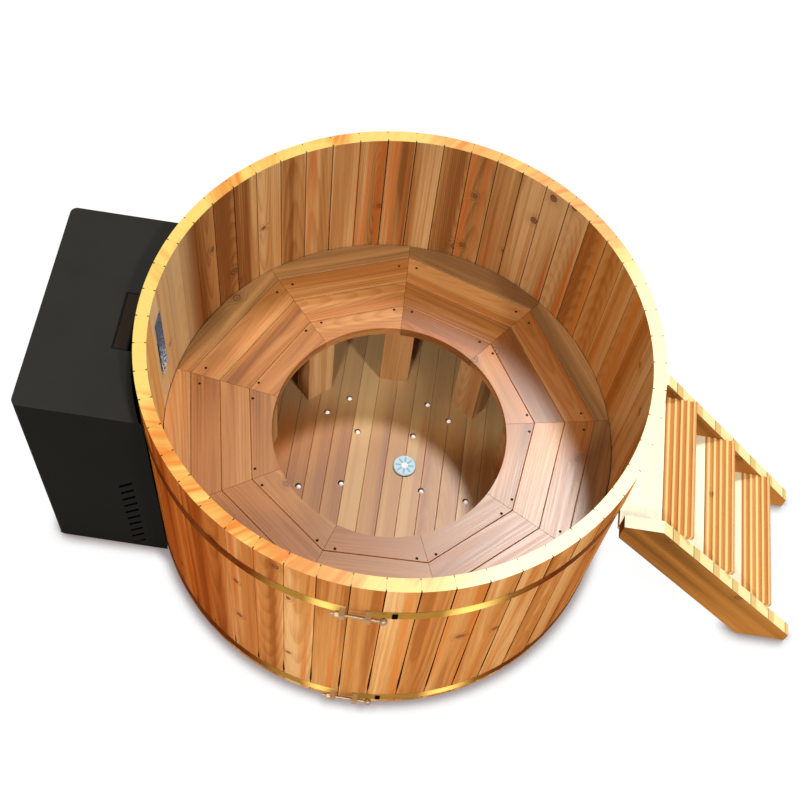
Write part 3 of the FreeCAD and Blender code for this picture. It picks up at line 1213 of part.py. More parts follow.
# The cabinet: a folded wrap, a curved panel at the tub, a top and a tray.
def make_cabinet():
    """Cabinet wrap with vents, tub side panel, top and tray."""
    wall_reach = dim.tub_radius + dim.cabinet_wall_gap
    wall_end = (-root(wall_reach ** 2 - (CABINET_HALF - dim.cabinet_sheet) ** 2))
    y_span = (-CABINET_HALF, CABINET_HALF)
    wrap = new_body("wrap")
    sketch = sketch_on(wrap, "XY_Plane")
    draw_rectangle(sketch, (CABINET_X, wall_end), y_span)
    pad(wrap, sketch, WALL_TOP)

    def end_corner(edge):
        """Whether an edge is an upright corner at the end wall."""
        return runs_along(edge, Z_AXIS) and near(edge.CenterOfMass.x, value(CABINET_X))

    sketch = sketch_on(wrap, "XY_Plane", WALL_TOP)
    room_x = (CABINET_X + dim.cabinet_sheet, wall_end + dim.cabinet_sheet)
    draw_rectangle(sketch, room_x, inset(y_span, dim.cabinet_sheet))
    pocket(wrap, sketch, WALL_TOP)

    def inner_corner(edge):
        """Whether an edge is an upright corner inside the end wall."""
        at_wall = near(edge.CenterOfMass.x, value(CABINET_X + dim.cabinet_sheet))
        return runs_along(edge, Z_AXIS) and at_wall and edge.Length > size("cabinet_height") / 2

    dress_edges(wrap, "Fillet", "Radius", dim.cabinet_corner - dim.cabinet_sheet, inner_corner)
    dress_edges(wrap, "Fillet", "Radius", dim.cabinet_corner, end_corner)
    sketch = sketch_on(wrap, "XZ_Plane", CABINET_HALF)
    louvre_end = LOUVRE_X + dim.louvre_width
    louvre_low = dim.louvre_z + dim.louvre_rise
    draw_polygon(sketch, (
        (LOUVRE_X, dim.louvre_z), (louvre_end, louvre_low), (louvre_end, louvre_low + dim.louvre_height),
        (LOUVRE_X, dim.louvre_z + dim.louvre_height)))
    first = pocket(wrap, sketch, 2 * dim.cabinet_sheet)
    pattern = wrap.newObject("PartDesign::LinearPattern", "louvre_pattern")
    pattern.Originals = [first]
    pattern.Direction = (sketch, ["V_Axis"])
    bind(pattern, Length=(dim.louvre_count - 1) * dim.louvre_pitch, Occurrences=dim.louvre_count)
    wrap.Tip = pattern
    sketch = sketch_on(wrap, "YZ_Plane", CABINET_X + 2 * dim.cabinet_sheet)
    draw_circle(sketch, dim.drain_y, dim.small_pipe_z, dim.small_pipe_radius + dim.cabinet_play)
    pocket(wrap, sketch, 3 * dim.cabinet_sheet)
    keep(wrap, "cabinet_wrap")

    inside = value(CABINET_EDGE)
    sheet = size("cabinet_sheet")
    panel_low = size("tray_bottom")
    height = value(WALL_TOP) - panel_low
    foot = FreeCAD.Vector(0, 0, panel_low)
    half = value(CABINET_HALF) - sheet - size("cabinet_play")
    ring = Part.makeCylinder(inside + sheet, height, foot).cut(Part.makeCylinder(inside, height, foot))
    window = Part.makeBox(inside, 2 * half, height, FreeCAD.Vector(-inside - sheet, -half, panel_low))
    panel = ring.common(window)
    for cutter in wall_cutters(size("panel_hole_play")):
        panel = panel.cut(cutter)
    solids("cabinet_tub_panel", panel.Solids)

    top = new_body("top")
    sketch = sketch_on(top, "XY_Plane", WALL_TOP)
    draw_rectangle(sketch, (CABINET_X, wall_end), y_span)
    pad(top, sketch, dim.cabinet_sheet)
    dress_edges(top, "Fillet", "Radius", dim.cabinet_corner, end_corner)
    barrel = rod("top_scribe", (0, 0, 0), Z_AXIS, CABINET_EDGE, 2 * dim.cabinet_height)
    notch_x = (SKIMMER_X - dim.cabinet_play, 0)
    notch_y = (dim.skimmer_front_y - dim.cabinet_play, SKIMMER_BACK_Y + dim.cabinet_play)
    notch = box("top_notch", notch_x, notch_y, (0, 2 * dim.cabinet_height))
    keep(cut("top_sheet", top, fuse("top_cutters", barrel, notch)), "cabinet_top")

    tray_x = (CABINET_X + dim.cabinet_sheet + dim.cabinet_play, wall_end)
    tray_y = inset(y_span, (dim.cabinet_sheet + dim.cabinet_play))
    plate = box("tray_plate", tray_x, tray_y, (dim.tray_bottom, TRAY_TOP))
    legs = []
    for number, near_tub in enumerate((False, True, False, True)):
        low_x = tray_x[0] + dim.cabinet_corner
        if near_tub:
            low_x = wall_end - dim.tray_leg_setback - dim.tray_leg
        low_y = tray_y[0] + dim.cabinet_corner
        if number >= 2:
            low_y = tray_y[1] - dim.cabinet_corner - dim.tray_leg
        legs.append(box(f"tray_leg_{number + 1}", (low_x, low_x + dim.tray_leg),
                        (low_y, low_y + dim.tray_leg), (0, TRAY_TOP)))
    corners = []
    for number, low_y in enumerate((tray_y[0], tray_y[1] - dim.cabinet_corner)):
        corners.append(box(f"tray_corner_{number + 1}", (tray_x[0], tray_x[0] + dim.cabinet_corner),
                           (low_y, low_y + dim.cabinet_corner), (0, dim.cabinet_height)))
    scribe = rod("tray_scribe", (0, 0, 0), Z_AXIS,
                 CABINET_EDGE + dim.cabinet_sheet + dim.cabinet_play, dim.cabinet_height)
    hole = dim.small_pipe_radius + dim.panel_hole_play
    holes = [rod("tray_stem_hole", (VALVE_X, dim.drain_y, 0), Z_AXIS,
                 dim.valve_stem_radius + dim.panel_hole_play, dim.cabinet_height)]
    for name in ("front", "rear"):
        spot = (AIR_HEADER_X, getattr(dim, f"air_{name}_y"), 0)
        holes.append(rod(f"tray_{name}_hole", spot, Z_AXIS, hole, dim.cabinet_height))
    tools = fuse("tray_cutters", scribe, *corners, *holes)
    keep(cut("tray", fuse("tray_blank", plate, *legs), tools), "cabinet_base")


# The steps: two stringers with ribbed and smooth boards between them.
def make_steps():
    """Stringers, ribbed treads and the smooth boards behind them."""
    outline = (
        (INNER, dim.stringer_top), (STRINGER_TOP_X, dim.stringer_top),
        (STRINGER_TOE_X, dim.stringer_toe_height), (STRINGER_TOE_X, 0),
        (STRINGER_FOOT_X, 0), (INNER, dim.stringer_rear_low))
    far_side = STEP_FAR_Y + dim.stringer_thickness
    clear = dim.tub_radius + dim.step_tub_gap
    for label, y in (("step_stringer_front", STEP_INNER_Y), ("step_stringer_back", far_side)):
        blank = new_body(f"{label}_blank")
        sketch = sketch_on(blank, "XZ_Plane")
        draw_polygon(sketch, outline)
        pad(blank, sketch, dim.stringer_thickness)
        place(blank, 0, y, 0)
        scribe = rod(f"{label}_scribe", (0, 0, 0), Z_AXIS, clear, dim.stave_height)
        keep(cut(f"{label}_cut", blank, scribe), label)

    for number in range(int(size("tread_count"))):
        front = (TREAD_FRONT_X + number * dim.tread_going)
        top = (dim.tread_top - number * dim.tread_rise)
        low = top - dim.tread_thickness
        rear = front - dim.tread_depth
        tread = new_body(f"tread_{number + 1}")
        sketch = sketch_on(tread, "XZ_Plane")
        draw_rectangle(sketch, (rear, front), (low, top))
        pad(tread, sketch, dim.step_inner_width)

        def nose_edge(edge, reach=value(front)):
            """Whether an edge runs along the front of the tread."""
            return runs_along(edge, Y_AXIS) and near(edge.CenterOfMass.x, reach)

        dress_edges(tread, "Fillet", "Radius", dim.tread_nose, nose_edge)
        sketch = sketch_on(tread, "XZ_Plane")
        draw_circle(sketch, rear + dim.tread_groove_pitch, top + dim.tread_groove_rise,
                    dim.tread_groove_radius)
        first = pocket(tread, sketch, dim.step_inner_width, reverse=True)
        pattern = tread.newObject("PartDesign::LinearPattern", f"tread_{number + 1}_ribs")
        pattern.Originals = [first]
        pattern.Direction = (sketch, ["H_Axis"])
        grooves = whole((dim.tread_depth - dim.tread_groove_pitch) / dim.tread_groove_pitch)
        bind(pattern, Length=(grooves - 1) * dim.tread_groove_pitch, Occurrences=grooves)
        tread.Tip = pattern
        place(tread, 0, STEP_FAR_Y, 0)
        keep(tread, f"step_tread_{number + 1}")

        board_front = rear - dim.step_board_gap
        board_rear = board_front - dim.step_board_depth if number else INNER
        between = (STEP_INNER_Y, STEP_FAR_Y)
        plank = box(f"plank_{number + 1}", (board_rear, board_front), between, (low, top))
        if number:
            keep(plank, f"step_board_{number + 1}")
        else:
            scribe = rod("platform_scribe", (0, 0, 0), Z_AXIS, clear, dim.stave_height)
            keep(cut("platform", plank, scribe), "step_board_1")


make_staves()
make_floor()
make_hoops()
make_bench()
make_drain()
make_air()
make_skimmer()
make_pump()
make_water_circuit()
make_cabinet()
make_steps()
doc.recompute()

for item in doc.Objects:
    if any(word in state for state in item.State for word in ("Invalid", "Error")):
        raise RuntimeError(f"{item.Label} failed: {item.State}")
for part in parts:
    if part.Shape.isNull() or not part.Shape.isValid():
        raise RuntimeError(f"{part.Label} has no sound shape")
os.makedirs("parts", exist_ok=True)
for part in parts:
    part.Shape.exportStep(f"parts/{part.Label}.step")
    print(f"{part.Label}: {len(part.Shape.Solids)} solids, {part.Shape.Volume / 1000:.1f} cm3")
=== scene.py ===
"""Looks of a barrel hot tub with its ring bench, equipment cabinet and steps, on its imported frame."""
import logging
import math
from dataclasses import dataclass, field
from enum import Enum
from typing import Any, Sequence

import bmesh
import bpy
from mathutils import Euler, Matrix, Vector


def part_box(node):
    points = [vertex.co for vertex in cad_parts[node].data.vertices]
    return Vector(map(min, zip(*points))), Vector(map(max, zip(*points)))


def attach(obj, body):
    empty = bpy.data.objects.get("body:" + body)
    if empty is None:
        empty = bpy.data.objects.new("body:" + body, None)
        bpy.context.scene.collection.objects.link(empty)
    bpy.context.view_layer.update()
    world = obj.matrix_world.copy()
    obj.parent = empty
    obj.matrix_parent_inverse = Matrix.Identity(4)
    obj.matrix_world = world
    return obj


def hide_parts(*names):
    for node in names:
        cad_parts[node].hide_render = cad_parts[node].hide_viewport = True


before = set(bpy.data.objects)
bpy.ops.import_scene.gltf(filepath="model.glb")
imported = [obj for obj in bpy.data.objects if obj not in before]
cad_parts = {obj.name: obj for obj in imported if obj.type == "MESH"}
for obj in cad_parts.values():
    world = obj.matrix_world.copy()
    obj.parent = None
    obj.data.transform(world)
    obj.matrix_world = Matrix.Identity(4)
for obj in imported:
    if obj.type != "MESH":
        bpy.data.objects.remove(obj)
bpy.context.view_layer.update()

LOG = logging.getLogger("barrel_hot_tub")
Colour = tuple[float, float, float]
Triple = tuple[float, float, float]
Range = tuple[float, float]

BLACK = (0.0, 0.0, 0.0)
WHITE = (1.0, 1.0, 1.0)
TOP_SKIN = 0.0012


class Wiring:
    """Adds nodes to one node tree and joins them."""

    def __init__(self, tree: bpy.types.NodeTree) -> None:
        """Keep the tree that nodes go into."""
        self.tree = tree

    def node(self, kind: str, **settings: Any) -> bpy.types.Node:
        """Add one node.

        Args:
            kind: The node's type.
            settings: Properties to set on the node.

        Returns:
            The new node.
        """
        made = self.tree.nodes.new(kind)
        for name, setting in settings.items():
            setattr(made, name, setting)
        return made

    def feed(self, socket: bpy.types.NodeSocket, given: Any) -> None:
        """Link an output to an input, or set the input's own number or colour.

        Args:
            socket: The input.
            given: An output socket, a number or a colour.
        """
        if isinstance(given, bpy.types.NodeSocket):
            self.tree.links.new(given, socket)
        elif socket.type == "RGBA" and len(given) == 3:
            socket.default_value = (*given, 1.0)
        else:
            socket.default_value = given

    def math(self, operation: str, first: Any, second: Any = 0.0, third: Any = 0.0) -> bpy.types.NodeSocket:
        """One arithmetic step.

        Args:
            operation: The Math node's operation.
            first: First value.
            second: Second value.
            third: Third value, for the operations that have one.

        Returns:
            The result's socket.
        """
        step = self.node("ShaderNodeMath", operation=operation)
        for socket, given in zip(step.inputs, (first, second, third)):
            self.feed(socket, given)
        return step.outputs[0]

    def product(self, first: Any, *others: Any) -> bpy.types.NodeSocket:
        """Several values multiplied."""
        for other in others:
            first = self.math("MULTIPLY", first, other)
        return first

    def length(self, x: Any, y: Any) -> bpy.types.NodeSocket:
        """Length of a flat vector."""
        return self.math("SQRT", self.math("ADD", self.product(x, x), self.product(y, y)))

    def centred(self, given: Any) -> bpy.types.NodeSocket:
        """How far a value lies above one half."""
        return self.math("SUBTRACT", given, 0.5)

    def join(self, x: Any, y: Any, z: Any = 0.0) -> bpy.types.NodeSocket:
        """A vector of three values."""
        made = self.node("ShaderNodeCombineXYZ")
        for socket, given in zip(made.inputs, (x, y, z)):
            self.feed(socket, given)
        return made.outputs[0]

    def split(self, vector: bpy.types.NodeSocket) -> tuple[bpy.types.NodeSocket, ...]:
        """The three values of a vector."""
        made = self.node("ShaderNodeSeparateXYZ")
        self.feed(made.inputs[0], vector)
        return tuple(made.outputs)

    def mix(self, share: Any, first: Any, second: Any, blend: str = "MIX") -> bpy.types.NodeSocket:
        """Mix two colours.

        Args:
            share: How much of the second colour.
            first: First colour.
            second: Second colour.
            blend: The way of mixing.

        Returns:
            The mixed colour's socket.
        """
        made = self.node("ShaderNodeMix", data_type="RGBA", blend_type=blend, clamp_factor=True)
        self.feed(made.inputs[0], share)
        self.feed(made.inputs[6], first)
        self.feed(made.inputs[7], second)
        return made.outputs[2]

    def shade(self, colour: Any, share: Any) -> bpy.types.NodeSocket:
        """A colour times a number."""
        return self.mix(1.0, colour, self.join(share, share, share), "MULTIPLY")

    def step(self, given: Any, low: Any, high: Any, bottom: Any = 0.0, top: Any = 1.0) -> bpy.types.NodeSocket:
        """A smooth step from one value to another.

        Args:
            given: The value that decides.
            low: Where the step starts.
            high: Where the step ends.
            bottom: The result at the start.
            top: The result at the end.

        Returns:
            The result's socket.
        """
        made = self.node("ShaderNodeMapRange", interpolation_type="SMOOTHSTEP")
        for socket, value in zip(made.inputs, (given, low, high, bottom, top)):
            self.feed(socket, value)
        return made.outputs[0]

    def within(self, given: Any, rise: Range, fall: Range, most: float = 1.0) -> bpy.types.NodeSocket:
        """A value that rises smoothly and falls again.

        Args:
            given: The value that decides.
            rise: Where the rise starts and ends.
            fall: Where the fall starts and ends.
            most: The result between them.

        Returns:
            The result's socket.
        """
        return self.product(self.step(given, *rise), self.step(given, *fall, most, 0.0))

    def top_face(self, height: Any, top: float) -> bpy.types.NodeSocket:
        """1 on the level top of a piece, 0 below it."""
        return self.step(height, top - TOP_SKIN, top - TOP_SKIN / 2)

    def noise(self, vector: Any, scale: Any, detail: float = 2.0, rough: float = 0.5) -> bpy.types.NodeSocket:
        """Smooth noise, from 0 to 1.

        Args:
            vector: Where the noise is read.
            scale: Noise cells to one unit.
            detail: Finer layers.
            rough: Strength of the finer layers.

        Returns:
            The noise value's socket.
        """
        made = self.node("ShaderNodeTexNoise", noise_dimensions="3D")
        self.feed(made.inputs["Vector"], vector)
        self.feed(made.inputs["Scale"], scale)
        self.feed(made.inputs["Detail"], detail)
        self.feed(made.inputs["Roughness"], rough)
        return made.outputs["Fac"]

    def chance(self, given: Any) -> bpy.types.NodeSocket:
        """A random number from 0 to 1 that belongs to a value."""
        made = self.node("ShaderNodeTexWhiteNoise", noise_dimensions="1D")
        self.feed(made.inputs["W"], given)
        return made.outputs["Value"]


class Kind(Enum):
    """Sockets that a shared effect has."""

    NUMBER = "NodeSocketFloat"
    COLOUR = "NodeSocketColor"
    VECTOR = "NodeSocketVector"


@dataclass
class Effect:
    """A shared effect: a node group with named inputs and outputs.

    Attributes:
        name: Name of the group.
        inputs: Name, kind and usual value of each input.
        outputs: Name and kind of each output.
    """

    name: str
    inputs: Sequence[tuple[str, Kind, Any]]
    outputs: Sequence[tuple[str, Kind]]
    tree: bpy.types.NodeTree = field(init=False)

    def __post_init__(self) -> None:
        """Make the group with its sockets."""
        self.tree = bpy.data.node_groups.new(self.name, "ShaderNodeTree")
        for name, kind, usual in self.inputs:
            socket = self.tree.interface.new_socket(name, in_out="INPUT", socket_type=kind.value)
            if usual is not None:
                socket.default_value = (*usual, 1.0) if kind is Kind.COLOUR else usual
        for name, kind in self.outputs:
            self.tree.interface.new_socket(name, in_out="OUTPUT", socket_type=kind.value)
        self.wires = Wiring(self.tree)
        self.entry = self.wires.node("NodeGroupInput").outputs
        self.exit = self.wires.node("NodeGroupOutput").inputs

    def place(self, wires: Wiring, **given: Any) -> bpy.types.bpy_prop_collection:
        """Put the effect into a material.

        Args:
            wires: The material's nodes.
            given: Values or sockets for the inputs, with _ for a space.

        Returns:
            The effect's outputs.
        """
        made = wires.node("ShaderNodeGroup", node_tree=self.tree)
        for name, value in given.items():
            wires.feed(made.inputs[name.replace("_", " ")], value)
        return made.outputs


BOARD_OUTPUTS = (("Along", Kind.NUMBER), ("Across", Kind.NUMBER), ("Depth", Kind.NUMBER),
                 ("Seed", Kind.NUMBER), ("Spare", Kind.NUMBER), ("Joint", Kind.NUMBER))
BOARD_LOT, JOINT_LOT = 0.37, 0.71


@dataclass(frozen=True)
class Cedar:
    """The grain that all the cedar shares, in metres, cells to a metre and shares.

    Attributes:
        apart: How far apart the patterns of two boards are read.
        knot_field: Width and length of the field that may hold one knot.
        knot_oval: Length of that field on the knot's own scale, shorter so that knots are long ovals.
        knot_girth: Least size of a knot, and what chance adds.
        knot_fade: Where the dark of a knot fades, from its middle.
        knot_share: How dark a knot is.
        core_rise: Where the paler ring in a knot starts.
        core_fall: Where that ring ends.
        core_share: How pale the ring is.
        halo_fade: Where the bent grain round a knot fades.
        halo_share: How dark that grain is.
        rings: Growth rings to a metre.
        late_rise: Where in a growth ring the late wood darkens.
        late_fall: Where it ends.
        waver: How far the rings wander.
        bulge: How far a knot bends them.
        heart: How far to the side the heart of the trunk may lie.
        leans: How steeply a board may lean in its trunk, to the side and inwards.
        lean_lots: Choice of each board's leans.
        wander_cells: Cells of the wandering, across and along a board.
        fibre_cells: Cells of the fibres.
        streak_cells: Cells of the narrow streaks.
        band_cells: Cells of the broad bands.
        flame_cells: Cells of the flame-coloured streaks.
        tone: Tone of a middling board.
        streak_share: How far a narrow streak changes the tone.
        band_share: How far a broad band changes it.
        to_warm: Tones over which the pale colour gives way to the warm one.
        to_deep: Tones over which that gives way to the deep one.
        to_flame: Where the flame-coloured streaks start.
        gloss: Roughness of smooth wood, and what fibres and late wood add to it.
        relief: Share of late wood and of fibres in the relief.
        knot_dark: Colour of a knot.
        knot_pale: Colour of the ring in it.
    """

    apart: float = 37.0
    knot_field: Range = (0.11, 0.36)
    knot_oval: float = 0.30
    knot_girth: Range = (0.72, 0.6)
    knot_fade: Range = (0.009, 0.0115)
    knot_share: float = 0.8
    core_rise: Range = (0.002, 0.004)
    core_fall: Range = (0.0055, 0.0085)
    core_share: float = 0.75
    halo_fade: Range = (0.006, 0.036)
    halo_share: float = 0.2
    rings: float = 160.0
    late_rise: Range = (0.25, 0.85)
    late_fall: Range = (0.85, 1.0)
    waver: float = 0.012
    bulge: float = 0.010
    heart: float = 0.10
    leans: Range = (0.03, 0.09)
    lean_lots: Range = (7.3, 13.7)
    wander_cells: Range = (9.0, 1.4)
    fibre_cells: Range = (330.0, 7.0)
    streak_cells: Range = (60.0, 0.9)
    band_cells: Range = (17.0, 0.45)
    flame_cells: Range = (31.0, 0.55)
    tone: float = 0.42
    streak_share: float = 0.9
    band_share: float = 2.2
    to_warm: Range = (-0.05, 0.5)
    to_deep: Range = (0.45, 1.1)
    to_flame: Range = (0.52, 0.68)
    gloss: Triple = (0.25, 0.12, -0.03)
    relief: Range = (0.4, 0.6)
    knot_dark: Colour = (0.10, 0.028, 0.012)
    knot_pale: Colour = (0.42, 0.16, 0.055)


class Effects:
    """The shared effects, made once."""

    def __init__(self) -> None:
        """Make every effect."""
        self.round_boards = self.make_round_boards()
        self.flat_boards = self.make_flat_boards()
        self.grain = self.make_grain()
        self.surface = self.make_surface()

    @staticmethod
    def make_round_boards() -> Effect:
        """Upright boards in a ring: where a point lies on its own board.

        Returns:
            The effect.
        """
        effect = Effect("boards_in_a_ring", (
            ("Vector", Kind.VECTOR, None), ("Start", Kind.NUMBER, 0.0), ("Step", Kind.NUMBER, 0.1),
            ("Seed", Kind.NUMBER, 0.0), ("Base", Kind.NUMBER, 0.0)), BOARD_OUTPUTS)
        wires, entry = effect.wires, effect.entry
        x, y, z = wires.split(entry["Vector"])
        radius = wires.length(x, y)
        turns = wires.math("DIVIDE", wires.math("SUBTRACT", wires.math("ARCTAN2", y, x), entry["Start"]), entry["Step"])
        count = wires.math("ROUND", wires.math("DIVIDE", math.tau, entry["Step"]))
        turns = wires.math("WRAP", turns, count, 0.0)
        across = wires.product(wires.centred(wires.math("FRACT", turns)), entry["Step"], radius)
        half = wires.product(entry["Step"], radius, 0.5)
        joint = wires.math("WRAP", wires.math("ROUND", turns), count, 0.0)
        Effects.put_out_boards(effect, z, across, radius, half, turns, joint)
        return effect

    @staticmethod
    def make_flat_boards() -> Effect:
        """Boards side by side: where a point lies on its own board.

        Returns:
            The effect.
        """
        effect = Effect("boards_side_by_side", (
            ("Vector", Kind.VECTOR, None), ("First", Kind.NUMBER, 0.0), ("Pitch", Kind.NUMBER, 0.1),
            ("Seed", Kind.NUMBER, 0.0), ("Base", Kind.NUMBER, 0.0)), BOARD_OUTPUTS)
        wires, entry = effect.wires, effect.entry
        x, y, z = wires.split(entry["Vector"])
        turns = wires.math("DIVIDE", wires.math("SUBTRACT", x, entry["First"]), entry["Pitch"])
        across = wires.product(wires.centred(wires.math("FRACT", turns)), entry["Pitch"])
        half = wires.product(entry["Pitch"], 0.5)
        Effects.put_out_boards(effect, y, across, z, half, turns, wires.math("ROUND", turns))
        return effect

    @staticmethod
    def put_out_boards(effect: Effect, along: Any, across: Any, level: Any, half: Any, turns: Any, joint: Any) -> None:
        """Feed the outputs of an effect that lays boards.

        Args:
            effect: The effect.
            along: Place along a board.
            across: Place across it, from its middle.
            level: Place through its thickness.
            half: Half of its width.
            turns: Boards from the first joint.
            joint: Number of the nearest joint.
        """
        wires, entry = effect.wires, effect.entry
        seed = wires.math("ADD", wires.math("FLOOR", turns), entry["Seed"])
        for name, value in (
                ("Along", along), ("Across", across), ("Depth", wires.math("SUBTRACT", level, entry["Base"])),
                ("Seed", wires.chance(wires.math("ADD", seed, BOARD_LOT))),
                ("Spare", wires.math("SUBTRACT", half, wires.math("ABSOLUTE", across))),
                ("Joint", wires.chance(wires.math("ADD", joint, JOINT_LOT)))):
            wires.feed(effect.exit[name], value)

    @staticmethod
    def make_grain() -> Effect:
        """Cedar grain on one board: growth rings, fibres, knots and the board's own tone.

        Returns:
            The effect.
        """
        effect = Effect("cedar_grain", (
            ("Along", Kind.NUMBER, 0.0), ("Across", Kind.NUMBER, 0.0), ("Depth", Kind.NUMBER, 0.05),
            ("Seed", Kind.NUMBER, 0.5), ("Spare", Kind.NUMBER, 1.0), ("Gap", Kind.NUMBER, 0.002),
            ("Spread", Kind.NUMBER, 0.9), ("Bands", Kind.NUMBER, 1.0), ("Knots", Kind.NUMBER, 0.1),
            ("Rings", Kind.NUMBER, 0.25), ("Fibre", Kind.NUMBER, 0.5), ("Vivid", Kind.NUMBER, 0.4),
            ("Shift", Kind.NUMBER, 0.0), ("Shadow", Kind.NUMBER, 0.6),
            ("Pale", Kind.COLOUR, (0.7, 0.4, 0.2)), ("Warm", Kind.COLOUR, (0.6, 0.3, 0.1)),
            ("Deep", Kind.COLOUR, (0.4, 0.15, 0.05)), ("Flame", Kind.COLOUR, (0.65, 0.16, 0.03)),
        ), (("Colour", Kind.COLOUR), ("Roughness", Kind.NUMBER), ("Height", Kind.NUMBER)))
        wires, entry, cedar = effect.wires, effect.entry, Cedar()
        along, across, depth, seed = (entry[name] for name in ("Along", "Across", "Depth", "Seed"))
        far = wires.product(seed, cedar.apart)

        def stretched(wide: float, long: float) -> bpy.types.NodeSocket:
            """A place on the board, stretched along the fibres."""
            return wires.join(
                wires.math("MULTIPLY_ADD", across, wide, far), wires.product(depth, wide),
                wires.math("MULTIPLY_ADD", along, long, far))

        def leaning(lot: float, most: float) -> bpy.types.NodeSocket:
            """A slope of the board's own, up or down, and steep on few boards."""
            share = wires.centred(wires.math("FRACT", wires.product(seed, lot)))
            return wires.product(share, share, share, 8.0 * most)

        wide, long = cedar.knot_field
        cells = wires.node("ShaderNodeTexVoronoi", voronoi_dimensions="2D", feature="F1")
        spot = wires.join(wires.math("MULTIPLY_ADD", across, 1 / wide, far),
                          wires.math("MULTIPLY_ADD", along, 1 / long, far))
        wires.feed(cells.inputs["Vector"], spot)
        wires.feed(cells.inputs["Scale"], 1.0)
        offset = wires.node("ShaderNodeVectorMath", operation="SUBTRACT")
        wires.feed(offset.inputs[0], spot)
        wires.feed(offset.inputs[1], cells.outputs["Position"])
        dx, dy, _ = wires.split(offset.outputs[0])
        reach = wires.length(wires.product(dx, wide), wires.product(dy, cedar.knot_oval))
        lot, girth, _ = wires.split(cells.outputs["Color"])
        there = wires.math("LESS_THAN", lot, entry["Knots"])
        least, more = cedar.knot_girth
        reach = wires.math("DIVIDE", reach, wires.math("MULTIPLY_ADD", girth, more, least))
        knot = wires.product(there, wires.step(reach, *cedar.knot_fade, 1.0, 0.0))
        core = wires.within(reach, cedar.core_rise, cedar.core_fall, cedar.core_share)
        halo = wires.product(there, wires.step(reach, *cedar.halo_fade, 1.0, 0.0))

        waver = wires.centred(wires.noise(stretched(*cedar.wander_cells), 1.0))
        sideways, inwards = (leaning(lot, most) for lot, most in zip(cedar.lean_lots, cedar.leans))
        side = wires.math("MULTIPLY_ADD", wires.centred(seed), cedar.heart, across)
        side = wires.math("MULTIPLY_ADD", along, sideways, side)
        below = wires.math("MULTIPLY_ADD", along, inwards, depth)
        ring = wires.math("MULTIPLY_ADD", waver, cedar.waver, wires.length(side, below))
        ring = wires.math("MULTIPLY_ADD", halo, cedar.bulge, ring)
        late = wires.within(wires.math("FRACT", wires.product(ring, cedar.rings)), cedar.late_rise, cedar.late_fall)
        fibre = wires.noise(stretched(*cedar.fibre_cells), 1.0, 2.0, 0.6)
        streak = wires.noise(stretched(*cedar.streak_cells), 1.0, 3.0, 0.6)
        band = wires.noise(stretched(*cedar.band_cells), 1.0, 1.0)
        flame = wires.noise(stretched(*cedar.flame_cells), 1.0, 1.0)

        tone = wires.math("MULTIPLY_ADD", wires.centred(seed), entry["Spread"], cedar.tone)
        tone = wires.math("ADD", tone, entry["Shift"])
        broad = wires.product(wires.centred(band), cedar.band_share)
        broad = wires.math("MULTIPLY_ADD", wires.centred(streak), cedar.streak_share, broad)
        tone = wires.math("MULTIPLY_ADD", broad, entry["Bands"], tone)
        tone = wires.math("MULTIPLY_ADD", late, entry["Rings"], tone)
        colour = wires.mix(wires.step(tone, *cedar.to_warm), entry["Pale"], entry["Warm"])
        colour = wires.mix(wires.step(tone, *cedar.to_deep), colour, entry["Deep"])
        colour = wires.mix(wires.product(wires.step(flame, *cedar.to_flame), entry["Vivid"]), colour, entry["Flame"])
        dark = wires.math("MULTIPLY_ADD", wires.centred(fibre), entry["Fibre"], 1.0)
        edge = wires.step(entry["Spare"], wires.product(entry["Gap"], 0.4), entry["Gap"], 1.0, 0.0)
        for place, share in ((halo, cedar.halo_share), (edge, entry["Shadow"])):
            dark = wires.product(dark, wires.math("SUBTRACT", 1.0, wires.product(place, share)))
        colour = wires.shade(colour, dark)
        colour = wires.mix(wires.product(knot, cedar.knot_share), colour, cedar.knot_dark)
        colour = wires.mix(wires.product(core, there), colour, cedar.knot_pale)
        wires.feed(effect.exit["Colour"], colour)
        smooth, fibrous, glossy = cedar.gloss
        gloss = wires.math("MULTIPLY_ADD", fibre, fibrous, wires.math("MULTIPLY_ADD", late, glossy, smooth))
        wires.feed(effect.exit["Roughness"], gloss)
        height = wires.math("MULTIPLY_ADD", late, cedar.relief[0], wires.product(fibre, cedar.relief[1]))
        wires.feed(effect.exit["Height"], height)
        return effect

    @staticmethod
    def make_surface() -> Effect:
        """A made surface: fine texture, broad variation of the colour and dust.

        Returns:
            The effect.
        """
        effect = Effect("made_surface", (
            ("Vector", Kind.VECTOR, None), ("Fine", Kind.NUMBER, 600.0), ("Broad", Kind.NUMBER, 6.0),
            ("Gloss", Kind.NUMBER, 0.4), ("Worn", Kind.NUMBER, 0.3),
            ("Colour", Kind.COLOUR, (0.5, 0.5, 0.5)), ("Second", Kind.COLOUR, (0.6, 0.6, 0.6)),
        ), (("Colour", Kind.COLOUR), ("Roughness", Kind.NUMBER), ("Height", Kind.NUMBER)))
        wires, entry = effect.wires, effect.entry

        def layer(scale: bpy.types.NodeSocket, detail: float) -> bpy.types.NodeSocket:
            """Noise at one scale."""
            return wires.noise(entry["Vector"], scale, detail, 0.6)

        fine, broad = layer(entry["Fine"], 1.0), layer(entry["Broad"], 4.0)
        share = wires.product(wires.step(broad, 0.3, 0.75), entry["Worn"])
        colour = wires.mix(share, entry["Colour"], entry["Second"])
        dark = wires.math("MULTIPLY_ADD", wires.centred(fine), 0.3, 1.0)
        wires.feed(effect.exit["Colour"], wires.shade(colour, dark))
        gloss = wires.math("MULTIPLY_ADD", wires.centred(broad), 0.25, entry["Gloss"])
        wires.feed(effect.exit["Roughness"], wires.math("MULTIPLY_ADD", fine, 0.08, gloss))
        wires.feed(effect.exit["Height"], fine)
        return effect


